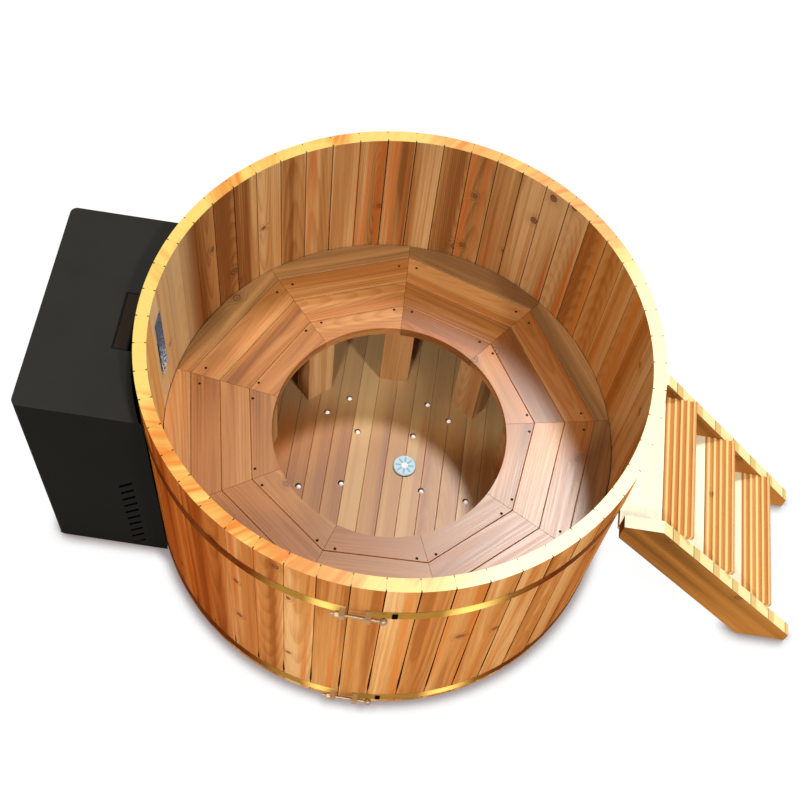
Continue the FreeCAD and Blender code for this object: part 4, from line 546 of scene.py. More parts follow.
def dressed(obj: bpy.types.Object, material: bpy.types.Material) -> None:
    """Give an object one material.

    Args:
        obj: The object.
        material: The material for all of it.
    """
    if not obj.material_slots:
        obj.data.materials.append(material)
    for slot in obj.material_slots:
        slot.link = "OBJECT"
        slot.material = material


@dataclass
class Blank:
    """A new material with its shader, before its colours.

    Attributes:
        name: Name of the material.
    """

    name: str

    def __post_init__(self) -> None:
        """Make the material and find its shader."""
        self.material = bpy.data.materials.new(self.name)
        self.material.use_nodes = True
        self.wires = Wiring(self.material.node_tree)
        self.shader = self.material.node_tree.nodes["Principled BSDF"]
        self.place = self.wires.node("ShaderNodeTexCoord").outputs["Object"]

    def turned(self, turn: Triple, stretch: Triple = (1.0, 1.0, 1.0)) -> bpy.types.NodeSocket:
        """Object coordinates in a turned frame.

        Args:
            turn: Angles of the turn.
            stretch: Scale along each axis, before the turn.

        Returns:
            The coordinates' socket.
        """
        mapping = self.wires.node("ShaderNodeMapping", vector_type="POINT")
        self.wires.feed(mapping.inputs["Vector"], self.place)
        mapping.inputs["Rotation"].default_value = turn
        mapping.inputs["Scale"].default_value = stretch
        return mapping.outputs[0]

    def glow(self, colour: Any, strength: float) -> None:
        """Let a colour shine a little by itself."""
        self.wires.feed(self.shader.inputs["Emission Color"], colour)
        self.shader.inputs["Emission Strength"].default_value = strength

    def finish(self, colour: Any, roughness: Any, height: Any, depth: float) -> bpy.types.Material:
        """Join colour, roughness and relief to the shader.

        Args:
            colour: The base colour.
            roughness: The roughness.
            height: The relief.
            depth: Depth of the relief in metres.

        Returns:
            The finished material.
        """
        self.wires.feed(self.shader.inputs["Base Color"], colour)
        self.wires.feed(self.shader.inputs["Roughness"], roughness)
        bump = self.wires.node("ShaderNodeBump")
        bump.inputs["Strength"].default_value = 1.0
        bump.inputs["Distance"].default_value = depth
        self.wires.feed(bump.inputs["Height"], height)
        self.wires.feed(self.shader.inputs["Normal"], bump.outputs[0])
        return self.material


class Lay(Enum):
    """How the boards of a piece lie."""

    RING = "upright in a ring"
    ROW = "side by side"


@dataclass(frozen=True)
class Boards:
    """How the boards of a piece lie, and where their joints are.

    Attributes:
        lay: In a ring or side by side.
        first: First joint, in radians in a ring and in metres side by side.
        pitch: Joint to joint, in the same unit.
        across: Direction across the boards.
        along: Direction along the boards.
        seed: Shifts the choice of tones.
        base: Heart of the trunk, as a radius in a ring and a depth side by side.
    """

    lay: Lay = Lay.ROW
    first: float = 0.0
    pitch: float = 1.0
    across: Triple = (1.0, 0.0, 0.0)
    along: Triple = (0.0, 1.0, 0.0)
    seed: float = 0.0
    base: float = 0.0

    def turn(self) -> Triple:
        """The turn that puts the boards along Y.

        Returns:
            Euler angles.
        """
        across, along = Vector(self.across).normalized(), Vector(self.along).normalized()
        return tuple(Matrix((across, along, across.cross(along))).to_euler())


@dataclass(frozen=True)
class Wood:
    """A wood finish.

    Attributes:
        pale: Tone of the palest boards.
        warm: Middle tone.
        deep: Tone of the darkest boards.
        spread: How far the boards differ.
        bands: How strongly a board varies across its width.
        knots: Share of the places that have a knot.
        rings: How strongly growth rings show.
        fibre: How strongly fibres show.
        vivid: How strongly flame-coloured streaks show.
        flame: Colour of those streaks.
        shadow: How dark the joints are.
        gap: Half width of a joint in metres.
        dull: Added to the roughness.
        level: Strength of the reflections.
        relief: Depth of the grain in metres.
    """

    pale: Colour
    warm: Colour
    deep: Colour
    spread: float = 0.9
    bands: float = 1.0
    knots: float = 0.12
    rings: float = 0.18
    fibre: float = 0.4
    vivid: float = 0.4
    flame: Colour = (0.62, 0.17, 0.032)
    shadow: float = 0.6
    gap: float = 0.0018
    dull: float = 0.0
    level: float = 0.28
    relief: float = 0.00025

    def start(self, name: str, effects: Effects, boards: Boards) -> tuple[Blank, Any]:
        """Begin a material of this wood.

        Args:
            name: Name of the material.
            effects: The shared effects.
            boards: How the boards lie.

        Returns:
            The blank, and where its points lie on their boards.
        """
        blank = Blank(name)
        blank.shader.inputs["Specular IOR Level"].default_value = self.level
        if boards.lay is Lay.RING:
            return blank, effects.round_boards.place(
                blank.wires, Vector=blank.place, Start=boards.first, Step=boards.pitch, Seed=boards.seed,
                Base=boards.base)
        return blank, effects.flat_boards.place(
            blank.wires, Vector=blank.turned(boards.turn()), First=boards.first, Pitch=boards.pitch,
            Seed=boards.seed, Base=boards.base)

    def grain(self, blank: Blank, effects: Effects, spot: Any, **changed: Any) -> Any:
        """The grain of this wood.

        Args:
            blank: The material.
            effects: The shared effects.
            spot: Where its points lie on their boards.
            changed: Inputs that differ from these places.

        Returns:
            Colour, roughness and height.
        """
        given = {name: spot[name] for name in ("Along", "Across", "Depth", "Seed", "Spare")}
        given.update(
            Gap=self.gap, Spread=self.spread, Bands=self.bands, Knots=self.knots, Rings=self.rings, Fibre=self.fibre,
            Vivid=self.vivid, Shadow=self.shadow, Pale=self.pale, Warm=self.warm, Deep=self.deep, Flame=self.flame)
        return effects.grain.place(blank.wires, **{**given, **changed})

    def finish(self, blank: Blank, colour: Any, grain: Any) -> bpy.types.Material:
        """Finish a material of this wood with a colour and the rest of its grain."""
        rough = blank.wires.math("ADD", grain["Roughness"], self.dull)
        return blank.finish(colour, rough, grain["Height"], self.relief)

    def material(self, name: str, effects: Effects, boards: Boards) -> bpy.types.Material:
        """A material of this wood.

        Args:
            name: Name of the material.
            effects: The shared effects.
            boards: How the boards lie.

        Returns:
            The finished material.
        """
        blank, spot = self.start(name, effects, boards)
        grain = self.grain(blank, effects, spot)
        return self.finish(blank, grain["Colour"], grain)


@dataclass(frozen=True)
class Made:
    """A finish of metal, plastic or paint.

    Attributes:
        colour: Main colour.
        second: Colour of worn or dusty places.
        gloss: Roughness.
        metal: 1 for bare metal.
        fine: Cells of the fine texture to a metre.
        broad: Cells of the broad variation to a metre.
        worn: How much the second colour shows.
        depth: Depth of the texture in metres.
        level: Strength of the reflections.
        stretch: Scale of the texture along each axis, for a brushed surface.
    """

    colour: Colour
    second: Colour
    gloss: float = 0.4
    metal: float = 0.0
    fine: float = 600.0
    broad: float = 7.0
    worn: float = 0.4
    depth: float = 0.0002
    level: float = 0.5
    stretch: Triple = (1.0, 1.0, 1.0)

    def start(self, name: str, effects: Effects) -> tuple[Blank, Any]:
        """Begin a material of this finish.

        Args:
            name: Name of the material.
            effects: The shared effects.

        Returns:
            The blank, and its colour, roughness and height.
        """
        blank = Blank(name)
        look = effects.surface.place(
            blank.wires, Vector=blank.turned((0.0, 0.0, 0.0), self.stretch), Fine=self.fine, Broad=self.broad,
            Gloss=self.gloss, Worn=self.worn, Colour=self.colour, Second=self.second)
        blank.shader.inputs["Metallic"].default_value = self.metal
        blank.shader.inputs["Specular IOR Level"].default_value = self.level
        return blank, look

    def finish(self, blank: Blank, colour: Any, look: Any) -> bpy.types.Material:
        """Finish a material with a colour and the rest of this look."""
        return blank.finish(colour, look["Roughness"], look["Height"], self.depth)

    def material(self, name: str, effects: Effects) -> bpy.types.Material:
        """A material of this finish.

        Args:
            name: Name of the material.
            effects: The shared effects.

        Returns:
            The finished material.
        """
        blank, look = self.start(name, effects)
        return self.finish(blank, look["Colour"], look)


INNER_WOOD = Wood((0.74, 0.45, 0.19), (0.52, 0.25, 0.08), (0.27, 0.10, 0.026), knots=0.36, vivid=0.6, shadow=0.85,
                  dull=0.2, level=0.0)
OUTER_WOOD = Wood((0.77, 0.45, 0.185), (0.59, 0.255, 0.072), (0.37, 0.12, 0.026), spread=0.75, knots=0.2, vivid=0.7,
                  flame=(0.62, 0.18, 0.03), shadow=0.96)
RIM_WOOD = Wood((0.73, 0.53, 0.14), (0.68, 0.355, 0.078), (0.63, 0.24, 0.042), spread=0.0, bands=0.6, knots=0.0,
                rings=0.0, fibre=0.25, flame=(0.68, 0.20, 0.025), shadow=0.95, gap=0.0026, dull=0.06)
BENCH_WOOD = Wood((0.60, 0.286, 0.091), (0.43, 0.167, 0.039), (0.26, 0.088, 0.02), spread=0.85, knots=0.2, rings=0.16,
                  fibre=0.34, vivid=0.25, shadow=0.05, dull=-0.02, level=0.36, relief=0.00003)
BENCH_OLIVE = (0.46, 0.27, 0.105)
FLOOR_WOOD = Wood((0.73, 0.43, 0.158), (0.59, 0.278, 0.073), (0.40, 0.15, 0.036), spread=1.1, bands=0.8, knots=0.05,
                  rings=0.05, fibre=0.15, vivid=0.25, shadow=0.15, gap=0.0014, level=0.34, relief=0.00003)
UNDER_WOOD = Wood((0.74, 0.49, 0.225), (0.60, 0.32, 0.12), (0.45, 0.215, 0.075), spread=0.5, knots=0.08, vivid=0.2,
                  dull=0.2, level=0.0)
TREAD_WOOD = Wood((0.80, 0.52, 0.19), (0.65, 0.31, 0.085), (0.48, 0.17, 0.04), spread=0.3, knots=0.08, vivid=0.5,
                  flame=(0.62, 0.20, 0.05), dull=0.2, level=0.1)
PLATFORM_WOOD = Wood((0.80, 0.75, 0.54), (0.74, 0.66, 0.42), (0.64, 0.52, 0.28), spread=0.3, bands=0.5, knots=0.0,
                     rings=0.1, fibre=0.2, vivid=0.0, level=0.35)
STRINGER_WOOD = Wood((0.525, 0.226, 0.052), (0.375, 0.15, 0.031), (0.185, 0.075, 0.016), spread=0.2, bands=0.7,
                     knots=0.2, vivid=0.25, flame=(0.48, 0.16, 0.03), dull=0.25, level=0.0)
# Painted highlight: glare mixed into the rim's colour on one side.
RIM_GLARE = (0.88, 0.74, 0.42)
# Painted light, screened over the staves inside beside the skimmer and towards the front.
SKIMMER_PAINTED_LIGHT = (0.64, 0.47, 0.24)
FRONT_PAINTED_LIGHT = (0.74, 0.30, 0.08)
# Painted light, screened over the staves inside by the steps.
STEPS_PAINTED_LIGHT = (0.34, 0.095, 0.005)
CABINET_SHADE = (0.71, 0.385, 0.20)
STEP_SHADE = (0.74, 0.63, 0.52)
SHADED_FLOOR = (0.50, 0.36, 0.18)
PLANED_EDGE = (0.86, 0.77, 0.38)
PLANED_TAN = (0.70, 0.46, 0.16)
PLANED_TOP = (0.90, 0.85, 0.62)
# Painted highlight on the ribs of the treads.
RIB_PAINTED_HIGHLIGHT = (0.90, 0.66, 0.27)
NOSE_RED = (0.60, 0.21, 0.085)

BAND_BRONZE = Made((0.22, 0.09, 0.027), (0.32, 0.145, 0.045), gloss=0.34, metal=1.0, fine=90.0, broad=9.0, worn=0.8,
                   depth=0.0001, level=0.0)
# Painted reflection: gold mixed into the bands at the front, and glowing a little as painted light.
BAND_PAINTED_GLINT = (1.0, 0.68, 0.17)
BAND_PAINTED_GLOW = 0.35
BAND_EDGE = (0.34, 0.19, 0.085)
TENSION_STEEL = Made((0.36, 0.25, 0.145), (0.50, 0.39, 0.26), gloss=0.42, metal=0.8, fine=300.0, broad=40.0, level=0.1)
LUG_STEEL = Made((0.40, 0.23, 0.105), (0.50, 0.31, 0.16), gloss=0.6, fine=300.0, broad=40.0, level=0.02)
BRIGHT_STEEL = Made((0.36, 0.36, 0.35), (0.48, 0.48, 0.47), gloss=0.32, metal=1.0, fine=300.0, broad=40.0)
STRAINER_PLATE = Made((0.52, 0.78, 0.92), (0.62, 0.84, 0.93), gloss=0.4, fine=500.0, broad=60.0)
STRAINER_GAUZE = Made((0.34, 0.60, 0.78), (0.46, 0.70, 0.84), gloss=0.45, fine=900.0, broad=120.0, worn=0.8)
STRAINER_HUB = (0.90, 0.96, 0.97)
DRAIN_STEEL = Made((0.10, 0.15, 0.20), (0.16, 0.22, 0.27), gloss=0.5, metal=0.2, fine=500.0, broad=60.0)
# Near-black sockets: painted shade round the jets' balls.
JET_SOCKET_PAINTED_SHADE = Made((0.010, 0.011, 0.013), (0.02, 0.022, 0.026), gloss=0.5, fine=500.0, broad=60.0, level=0.05)
JET_BALL = Made((0.88, 0.90, 0.92), (0.80, 0.83, 0.86), gloss=0.22, fine=500.0, broad=60.0, depth=0.00003)
BLACK_CLIP = Made((0.003, 0.003, 0.003), (0.006, 0.006, 0.006), gloss=0.8, level=0.0)
DARK_SCREW = Made((0.006, 0.004, 0.003), (0.012, 0.008, 0.006), gloss=0.5, fine=900.0, broad=150.0, level=0.05)
BLACK_PAINT = Made((0.0115, 0.0110, 0.0090), (0.0150, 0.0145, 0.0125), gloss=0.6, fine=900.0, broad=3.0, level=0.004)
# Painted light: the lighter colour of the cabinet's top.
TOP_PAINTED_LIGHT = (0.0285, 0.0275, 0.0240)
HATCH_PAINT = Made((0.024, 0.0175, 0.0125), (0.028, 0.021, 0.0155), gloss=0.6, fine=900.0, broad=9.0, level=0.01)
WHITE_PLASTIC = Made((0.86, 0.88, 0.90), (0.80, 0.82, 0.84), gloss=0.3, fine=700.0, broad=40.0)
PIPE_PLASTIC = Made((0.72, 0.72, 0.70), (0.62, 0.62, 0.58), gloss=0.35, fine=500.0, broad=12.0)
GREY_PLASTIC = Made((0.009, 0.009, 0.0095), (0.014, 0.014, 0.015), gloss=0.6, fine=800.0, broad=15.0, level=0.02)
MOTOR_PAINT = Made((0.02, 0.03, 0.055), (0.035, 0.045, 0.07), gloss=0.35, fine=700.0, broad=12.0)
MESH_WIRE = Made((0.035, 0.05, 0.10), (0.10, 0.15, 0.26), gloss=0.4, metal=0.2, fine=900.0, broad=60.0)
MESH_SPECK = (0.66, 0.76, 0.86)


@dataclass
class Assembly:
    """Pieces that belong together.

    Attributes:
        effects: The shared effects.
    """

    effects: Effects

    def dress(self, material: bpy.types.Material, *nodes: str) -> None:
        """Give CAD pieces a material.

        Args:
            material: The material.
            nodes: Names of the pieces.
        """
        for name in nodes:
            dressed(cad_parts[name], material)
            LOG.info("%s: %s", name, material.name)

    def finish(self, finish: Made, name: str, *nodes: str) -> None:
        """Give CAD pieces a plain finish."""
        self.dress(finish.material(name, self.effects), *nodes)

    def add(self, name: str, mesh: bmesh.types.BMesh, body: str, slot: str,
            material: bpy.types.Material) -> bpy.types.Object:
        """Make a new piece that rides on a body.

        Args:
            name: Name of the piece.
            mesh: Its mesh, which is freed.
            body: The body that carries it.
            slot: Name of a material slot; not used.
            material: Its material.

        Returns:
            The new object.
        """
        data = bpy.data.meshes.new(name)
        mesh.to_mesh(data)
        mesh.free()
        made = bpy.data.objects.new(name, data)
        bpy.context.scene.collection.objects.link(made)
        data.materials.append(material)
        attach(made, body)
        LOG.info("%s: new piece, %d faces", name, len(data.polygons))
        return made


@dataclass
class Barrel(Assembly):
    """Staves with their end grain, and the floor.

    Lengths are in metres. X runs from the cabinet to the steps and Y from the front to the back, and a pair of
    numbers on X, Y or Z says where a look starts to change and where the change ends.

    Attributes:
        stave_start: Direction of the first joint between staves, in degrees.
        stave_count: Staves round the tub.
        rim: Height of the rim.
        heart: Radius at which the heart of the staves' trunks would lie.
        middle: Radius of the middle of the staves.
        seam: Half width of a joint inside, and what chance adds to it.
        streaked_x: Where the staves inside get their flame streaks.
        flaming_x: Where those streaks grow strong.
        painted_shade_x: Where painted shade on the staves inside starts, and where it ends again.
        painted_sun_x: Where the painted light on the staves beside the skimmer ends.
        painted_sun_joints: Joints beside those staves, along Y, where that painted light changes.
        painted_glow_x: Where painted light brightens the staves inside by the steps.
        gape_x: Where the gaping joints outside grow tall.
        gape_foot: Height at which they start.
        gape_peak: Height at which they are widest, before and after that change.
        gape_top: Height at which they end, before and after it.
        gape: Their greatest half width.
        crisp_x: Where the other joints outside show fully.
        collar_z: Where those joints widen above the upper band.
        collar_gap: Their half width below and above it.
        cabinet_shade_x: Where the shade on the cabinet's side ends, outside.
        step_shade_x: Where the shade on the side of the steps starts, outside.
        rim_coat: Gloss of the rim on the cabinet's side and on the other.
        rim_coat_x: Where that gloss changes.
        rim_slant: How far the rim's grain runs across the staves and along them.
        honey_x: Where the rim turns to honey, and where it turns pale again.
        honey_y: Where the honey ends towards the back.
        calm_x: Where the plain end of the rim by the cabinet ends.
        notch_at: How far from the middle of the rim the notches at the joints start.
        notch: Half width of a notch, where it fades.
        glare_from: Direction towards the rim's side with the painted highlight.
        glare: How far that way the painted highlight starts.
        floor_joint: First joint between floor boards.
        floor_pitch: Width of a floor board with its joint.
        floor_heart: Depth of the floor boards' heart.
        floor_shade_y: Where the floor turns greyer under the bench.
    """

    stave_start: float = 4.05
    stave_count: int = 52
    rim: float = 0.99
    heart: float = 0.65
    middle: float = 0.731
    seam: Range = (0.0013, 0.0012)
    streaked_x: Range = (-0.62, -0.42)
    flaming_x: Range = (0.10, 0.45)
    painted_shade_x: tuple[Range, Range] = ((-0.675, -0.65), (-0.62, -0.46))
    painted_sun_x: Range = (-0.695, -0.65)
    painted_sun_joints: tuple[Range, ...] = ((-0.053, -0.049), (0.034, 0.038), (0.119, 0.123))
    painted_glow_x: Range = (0.40, 0.62)
    gape_x: Range = (-0.35, 0.30)
    gape_foot: float = 0.06
    gape_peak: Range = (0.10, 0.19)
    gape_top: Range = (0.16, 0.76)
    gape: float = 0.0046
    crisp_x: Range = (-0.40, 0.10)
    collar_z: Range = (0.83, 0.86)
    collar_gap: Range = (0.0019, 0.0028)
    cabinet_shade_x: Range = (-0.60, -0.05)
    step_shade_x: Range = (0.12, 0.54)
    rim_coat: Range = (0.25, 0.8)
    rim_coat_x: Range = (-0.35, 0.05)
    rim_slant: Range = (0.9, 1.7)
    honey_x: tuple[Range, Range] = ((-0.66, -0.58), (-0.22, 0.0))
    honey_y: Range = (-0.45, -0.25)
    calm_x: Range = (-0.71, -0.60)
    notch_at: Range = (0.0125, 0.0145)
    notch: Range = (0.001, 0.0024)
    glare_from: Range = (0.94, -0.342)
    glare: Range = (0.40, 0.54)
    floor_joint: float = 0.003
    floor_pitch: float = 0.0655
    floor_heart: float = 0.02
    floor_shade_y: Range = (0.12, 0.32)

    def wall_material(self) -> bpy.types.Material:
        """Cedar staves with pale end grain on the rim.

        Returns:
            The finished material.
        """
        first, pitch = math.radians(self.stave_start), math.tau / self.stave_count
        staves = Boards(Lay.RING, first, pitch, seed=3.0, base=self.heart)
        blank, spot = INNER_WOOD.start("cedar_staves", self.effects, staves)
        wires = blank.wires
        x, _, height = wires.split(blank.place)
        inside, grain = self.inner_colour(blank, spot)
        middle = self.middle - self.heart
        colour = wires.mix(wires.step(spot["Depth"], middle, middle + 0.002), inside, self.outer_colour(blank, spot))
        on_rim = wires.top_face(height, self.rim)
        colour = wires.mix(on_rim, colour, self.rim_colour(blank, spot))
        coat = wires.product(on_rim, wires.step(x, *self.rim_coat_x, *self.rim_coat))
        wires.feed(blank.shader.inputs["Coat Weight"], coat)
        blank.shader.inputs["Coat Roughness"].default_value = 0.33
        dull = wires.step(on_rim, 0.0, 1.0, INNER_WOOD.dull, RIM_WOOD.dull)
        return blank.finish(colour, wires.math("ADD", grain["Roughness"], dull), grain["Height"], INNER_WOOD.relief)

    def inner_colour(self, blank: Blank, spot: Any) -> tuple[bpy.types.NodeSocket, Any]:
        """Staves inside, with painted light beside the skimmer and by the steps, and painted shade next to the skimmer.

        Args:
            blank: The material of the staves.
            spot: Where its points lie on their staves.

        Returns:
            The colour's socket, and the grain.
        """
        wires = blank.wires
        x, y, _ = wires.split(blank.place)
        least, more = self.seam
        # The Shift below darkens the staves next to the skimmer as painted shade.
        grain = INNER_WOOD.grain(
            blank, self.effects, spot, Gap=wires.math("MULTIPLY_ADD", spot["Joint"], more, least),
            Vivid=wires.product(wires.step(x, *self.streaked_x, 0.2, 1.0),
                                wires.step(x, *self.flaming_x, INNER_WOOD.vivid, 1.0)),
            Shift=wires.within(x, *self.painted_shade_x, 0.28))
        # Painted light: the staves beside the skimmer are brightened by screening a light colour over them.
        front, near, far = self.painted_sun_joints
        painted_sun = wires.math("MAXIMUM", wires.step(y, *near, 1.0, 0.4), wires.step(y, *far))
        painted_sun = wires.product(painted_sun, wires.step(x, *self.painted_sun_x, 0.9, 0.0))
        light = wires.mix(wires.step(y, *front), FRONT_PAINTED_LIGHT, SKIMMER_PAINTED_LIGHT)
        colour = wires.mix(painted_sun, grain["Colour"], light, "SCREEN")
        # Painted light: the staves by the steps are brightened by screening a light colour over them.
        return wires.mix(wires.step(x, *self.painted_glow_x), colour, STEPS_PAINTED_LIGHT, "SCREEN"), grain

    def outer_colour(self, blank: Blank, spot: Any) -> bpy.types.NodeSocket:
        """Staves outside: joints that gape low down, and shade towards the cabinet and the steps.

        Args:
            blank: The material of the staves.
            spot: Where its points lie on their staves.

        Returns:
            The colour's socket.
        """
        wires = blank.wires
        x, _, height = wires.split(blank.place)
        peak = wires.step(x, *self.gape_x, *self.gape_peak)
        top = wires.step(x, *self.gape_x, *self.gape_top)
        gaping = wires.product(wires.step(height, self.gape_foot, peak), wires.step(height, peak, top, self.gape, 0.0),
                               wires.step(spot["Joint"], 0.0, 0.3, 0.6, 1.0))
        line = wires.product(wires.step(x, *self.crisp_x, 0.2, 1.0),
                             wires.step(height, *self.collar_z, *self.collar_gap))
        grain = OUTER_WOOD.grain(blank, self.effects, spot, Gap=wires.math("MAXIMUM", gaping, line))
        colour = wires.mix(wires.step(x, *self.cabinet_shade_x, 1.0, 0.0), grain["Colour"], CABINET_SHADE, "MULTIPLY")
        return wires.mix(wires.step(x, *self.step_shade_x), colour, STEP_SHADE, "MULTIPLY")

    def rim_colour(self, blank: Blank, spot: Any) -> bpy.types.NodeSocket:
        """End grain in one run round the rim, with notches at the joints and a painted highlight on one side.

        Args:
            blank: The material of the staves.
            spot: Where its points lie on their staves.

        Returns:
            The colour's socket.
        """
        wires = blank.wires
        x, y, height = wires.split(blank.place)
        depth = spot["Depth"]
        arc = wires.product(wires.math("ARCTAN2", x, wires.product(y, -1.0)), self.middle)
        slant = wires.math("MULTIPLY_ADD", depth, self.rim_slant[0], wires.product(arc, self.rim_slant[1]))
        off_middle = wires.math("ABSOLUTE", wires.math("SUBTRACT", depth, self.middle - self.heart))
        cloud = wires.noise(blank.place, 4.2, 1.0)
        honey = wires.product(wires.within(x, *self.honey_x), wires.step(y, *self.honey_y, 1.0, 0.0))
        calm = wires.step(x, *self.calm_x)
        vivid = wires.math("MAXIMUM", wires.step(cloud, 0.44, 0.58, 0.05, 0.85), honey)
        shift = wires.math("MULTIPLY_ADD", honey, 0.52, wires.step(cloud, 0.36, 0.64, -0.6, 0.15))
        ends = RIM_WOOD.grain(
            blank, self.effects, spot, Along=wires.product(depth, 2.0), Across=slant, Depth=height, Seed=0.5,
            Shift=wires.math("MULTIPLY_ADD", wires.math("SUBTRACT", calm, 1.0), 0.5, shift),
            Vivid=wires.product(vivid, calm), Gap=wires.step(off_middle, *self.notch_at, 0.0, RIM_WOOD.gap))
        # Painted highlight: the rim turns pale towards one side, outside the notches.
        towards = wires.math("MULTIPLY_ADD", y, self.glare_from[1], wires.product(x, self.glare_from[0]))
        whole = wires.step(off_middle, *self.notch_at, 1.0, 0.0)
        free = wires.math("MAXIMUM", whole, wires.step(spot["Spare"], *self.notch))
        bright = wires.product(wires.step(towards, *self.glare, 0.0, 0.8), free)
        return wires.mix(bright, ends["Colour"], RIM_GLARE)

    def floor_material(self) -> bpy.types.Material:
        """Smooth boards, greyer where the bench shades them.

        Returns:
            The finished material.
        """
        boards = Boards(Lay.ROW, self.floor_joint, self.floor_pitch, seed=5.0, base=self.floor_heart)
        blank, spot = FLOOR_WOOD.start("cedar_floor", self.effects, boards)
        grain = FLOOR_WOOD.grain(blank, self.effects, spot)
        wires = blank.wires
        _, y, _ = wires.split(blank.place)
        colour = wires.mix(wires.step(y, *self.floor_shade_y, 0.0, 0.6), grain["Colour"], SHADED_FLOOR)
        return FLOOR_WOOD.finish(blank, colour, grain)

    def build(self) -> None:
        """Dress the staves and the floor."""
        self.dress(self.wall_material(), "staves_back_right", "staves_back_left", "staves_front_left",
                   "staves_front_right")
        self.dress(self.floor_material(), "floor_boards")
        joists = Boards(Lay.ROW, 0.1, 0.23, (0.0, 1.0, 0.0), (1.0, 0.0, 0.0))
        self.dress(UNDER_WOOD.material("cedar_joists", self.effects, joists), "floor_joists")


@dataclass
class Bench(Assembly):
    """The ring bench in mitred segments, with its posts, bearers and screws.

    A pair of numbers on X or Y says where a look starts to change and where the change ends, in metres.

    Attributes:
        first: Direction of the middle of the first segment, in degrees.
        segments: Segments round the tub.
        joint: Innermost joint between boards, from the tub axis.
        pitch: Width of a board with its joint.
        heart: Depth of the boards' heart.
        post_heart: Radius of the posts' heart.
        seeds: Shifts the tones of each segment's boards.
        lively_y: Where the boards get livelier, towards the back.
        deeper_y: Where they get deeper in tone.
        olive_y: Where the outermost boards turn olive, at the back.
        olive_x: Where they turn olive, at the right.
        olive_lots: Share of the other boards that stay as they are.
    """

    first: float = 112.0
    segments: int = 9
    joint: float = 0.439
    pitch: float = 0.093
    heart: float = 0.38
    post_heart: float = 0.33
    seeds: tuple[int, ...] = (10, 20, 30, 40, 50, 60, 70, 80, 90)
    lively_y: Range = (-0.25, 0.25)
    deeper_y: Range = (-0.3, 0.2)
    olive_y: Range = (0.05, 0.3)
    olive_x: Range = (0.30, 0.45)
    olive_lots: Range = (0.68, 0.70)

    def board_material(self, name: str, boards: Boards) -> bpy.types.Material:
        """Boards of one segment: the outermost at the back and the right, and a few others, are olive.

        Args:
            name: Name of the segment.
            boards: How its boards lie.

        Returns:
            The finished material.
        """
        blank, spot = BENCH_WOOD.start(f"cedar_{name}", self.effects, boards)
        wires = blank.wires
        across, _, _ = wires.split(blank.turned(boards.turn()))
        x, y, _ = wires.split(blank.place)
        lively = wires.step(y, *self.lively_y, 0.5, 1.2)
        grain = BENCH_WOOD.grain(
            blank, self.effects, spot, Spread=wires.product(lively, BENCH_WOOD.spread),
            Bands=wires.product(lively, BENCH_WOOD.bands), Shift=wires.step(y, *self.deeper_y, -0.07, 0.05))
        last = self.joint + 2 * self.pitch
        shaded = wires.math("MAXIMUM", wires.step(y, *self.olive_y, 0.1, 0.65), wires.step(x, *self.olive_x, 0.0, 0.75))
        outermost = wires.product(wires.step(across, last - 0.001, last + 0.001), shaded)
        lot = wires.math("FRACT", wires.product(spot["Seed"], 5.7))
        olive = wires.math("MAXIMUM", outermost, wires.step(lot, *self.olive_lots, 0.0, 0.15))
        return BENCH_WOOD.finish(blank, wires.mix(olive, grain["Colour"], BENCH_OLIVE, "COLOR"), grain)

    def build(self) -> None:
        """Dress the bench."""
        step = 360 / self.segments
        for number in range(self.segments):
            angle = math.radians(self.first + step * number)
            out = (math.cos(angle), math.sin(angle), 0.0)
            round_tub = (-out[1], out[0], 0.0)
            boards = Boards(Lay.ROW, self.joint, self.pitch, out, round_tub, self.seeds[number], self.heart)
            name = f"bench_segment_{number + 1}"
            self.dress(self.board_material(name, boards), name)
        posts = Boards(Lay.RING, math.radians(self.first - step), math.radians(step), seed=2.0, base=self.post_heart)
        material = UNDER_WOOD.material("cedar_supports", self.effects, posts)
        self.dress(material, "bench_front_posts", "bench_rear_posts", "bench_bearers")
        self.finish(DARK_SCREW, "dark_screws", "bench_screws")


@dataclass
class Bands(Assembly):
    """Steel bands with their tensioners and clips.

    Attributes:
        painted_glint_x: Where the painted gold reflection on the bands starts along X and where it ends again, in
            metres.
        painted_sheen_x: The same for a weaker painted reflection between those places.
        painted_glint_y: Where the painted reflection ends towards the back.
    """

    painted_glint_x: tuple[tuple[Range, Range], ...] = (((-0.20, -0.09), (-0.11, 0.02)), ((0.17, 0.28), (0.29, 0.42)))
    painted_sheen_x: tuple[Range, Range] = ((-0.35, -0.2), (0.3, 0.5))
    painted_glint_y: Range = (-0.3, -0.2)

    def band_material(self) -> bpy.types.Material:
        """Bronzed steel with a painted gold reflection at the front, which also glows a little as painted light.

        Returns:
            The finished material.
        """
        blank, look = BAND_BRONZE.start("bronzed_bands", self.effects)
        wires = blank.wires
        x, y, _ = wires.split(blank.place)
        share = wires.within(x, *self.painted_sheen_x, 0.28)
        for rise, fall in self.painted_glint_x:
            share = wires.math("MAXIMUM", share, wires.within(x, rise, fall))
        share = wires.product(share, wires.step(y, *self.painted_glint_y, 0.92, 0.0))
        # Painted reflection and light: the gold stretches glow and are less metallic.
        blank.glow(wires.mix(share, BLACK, BAND_PAINTED_GLINT), BAND_PAINTED_GLOW)
        wires.feed(blank.shader.inputs["Metallic"], wires.step(share, 0.0, 1.0, BAND_BRONZE.metal, 0.1))
        blank.shader.inputs["Specular Tint"].default_value = (*BAND_EDGE, 1.0)
        return BAND_BRONZE.finish(blank, wires.mix(share, look["Colour"], BAND_PAINTED_GLINT), look)

    def build(self) -> None:
        """Dress the bands."""
        self.dress(self.band_material(), "upper_hoop", "lower_hoop")
        self.finish(LUG_STEEL, "lug_steel", "hoop_lugs")
        self.finish(TENSION_STEEL, "tension_steel", "tension_rods", "upper_tension_nut", "lower_tension_nut")
        self.finish(BLACK_CLIP, "black_clips", "hoop_clips")


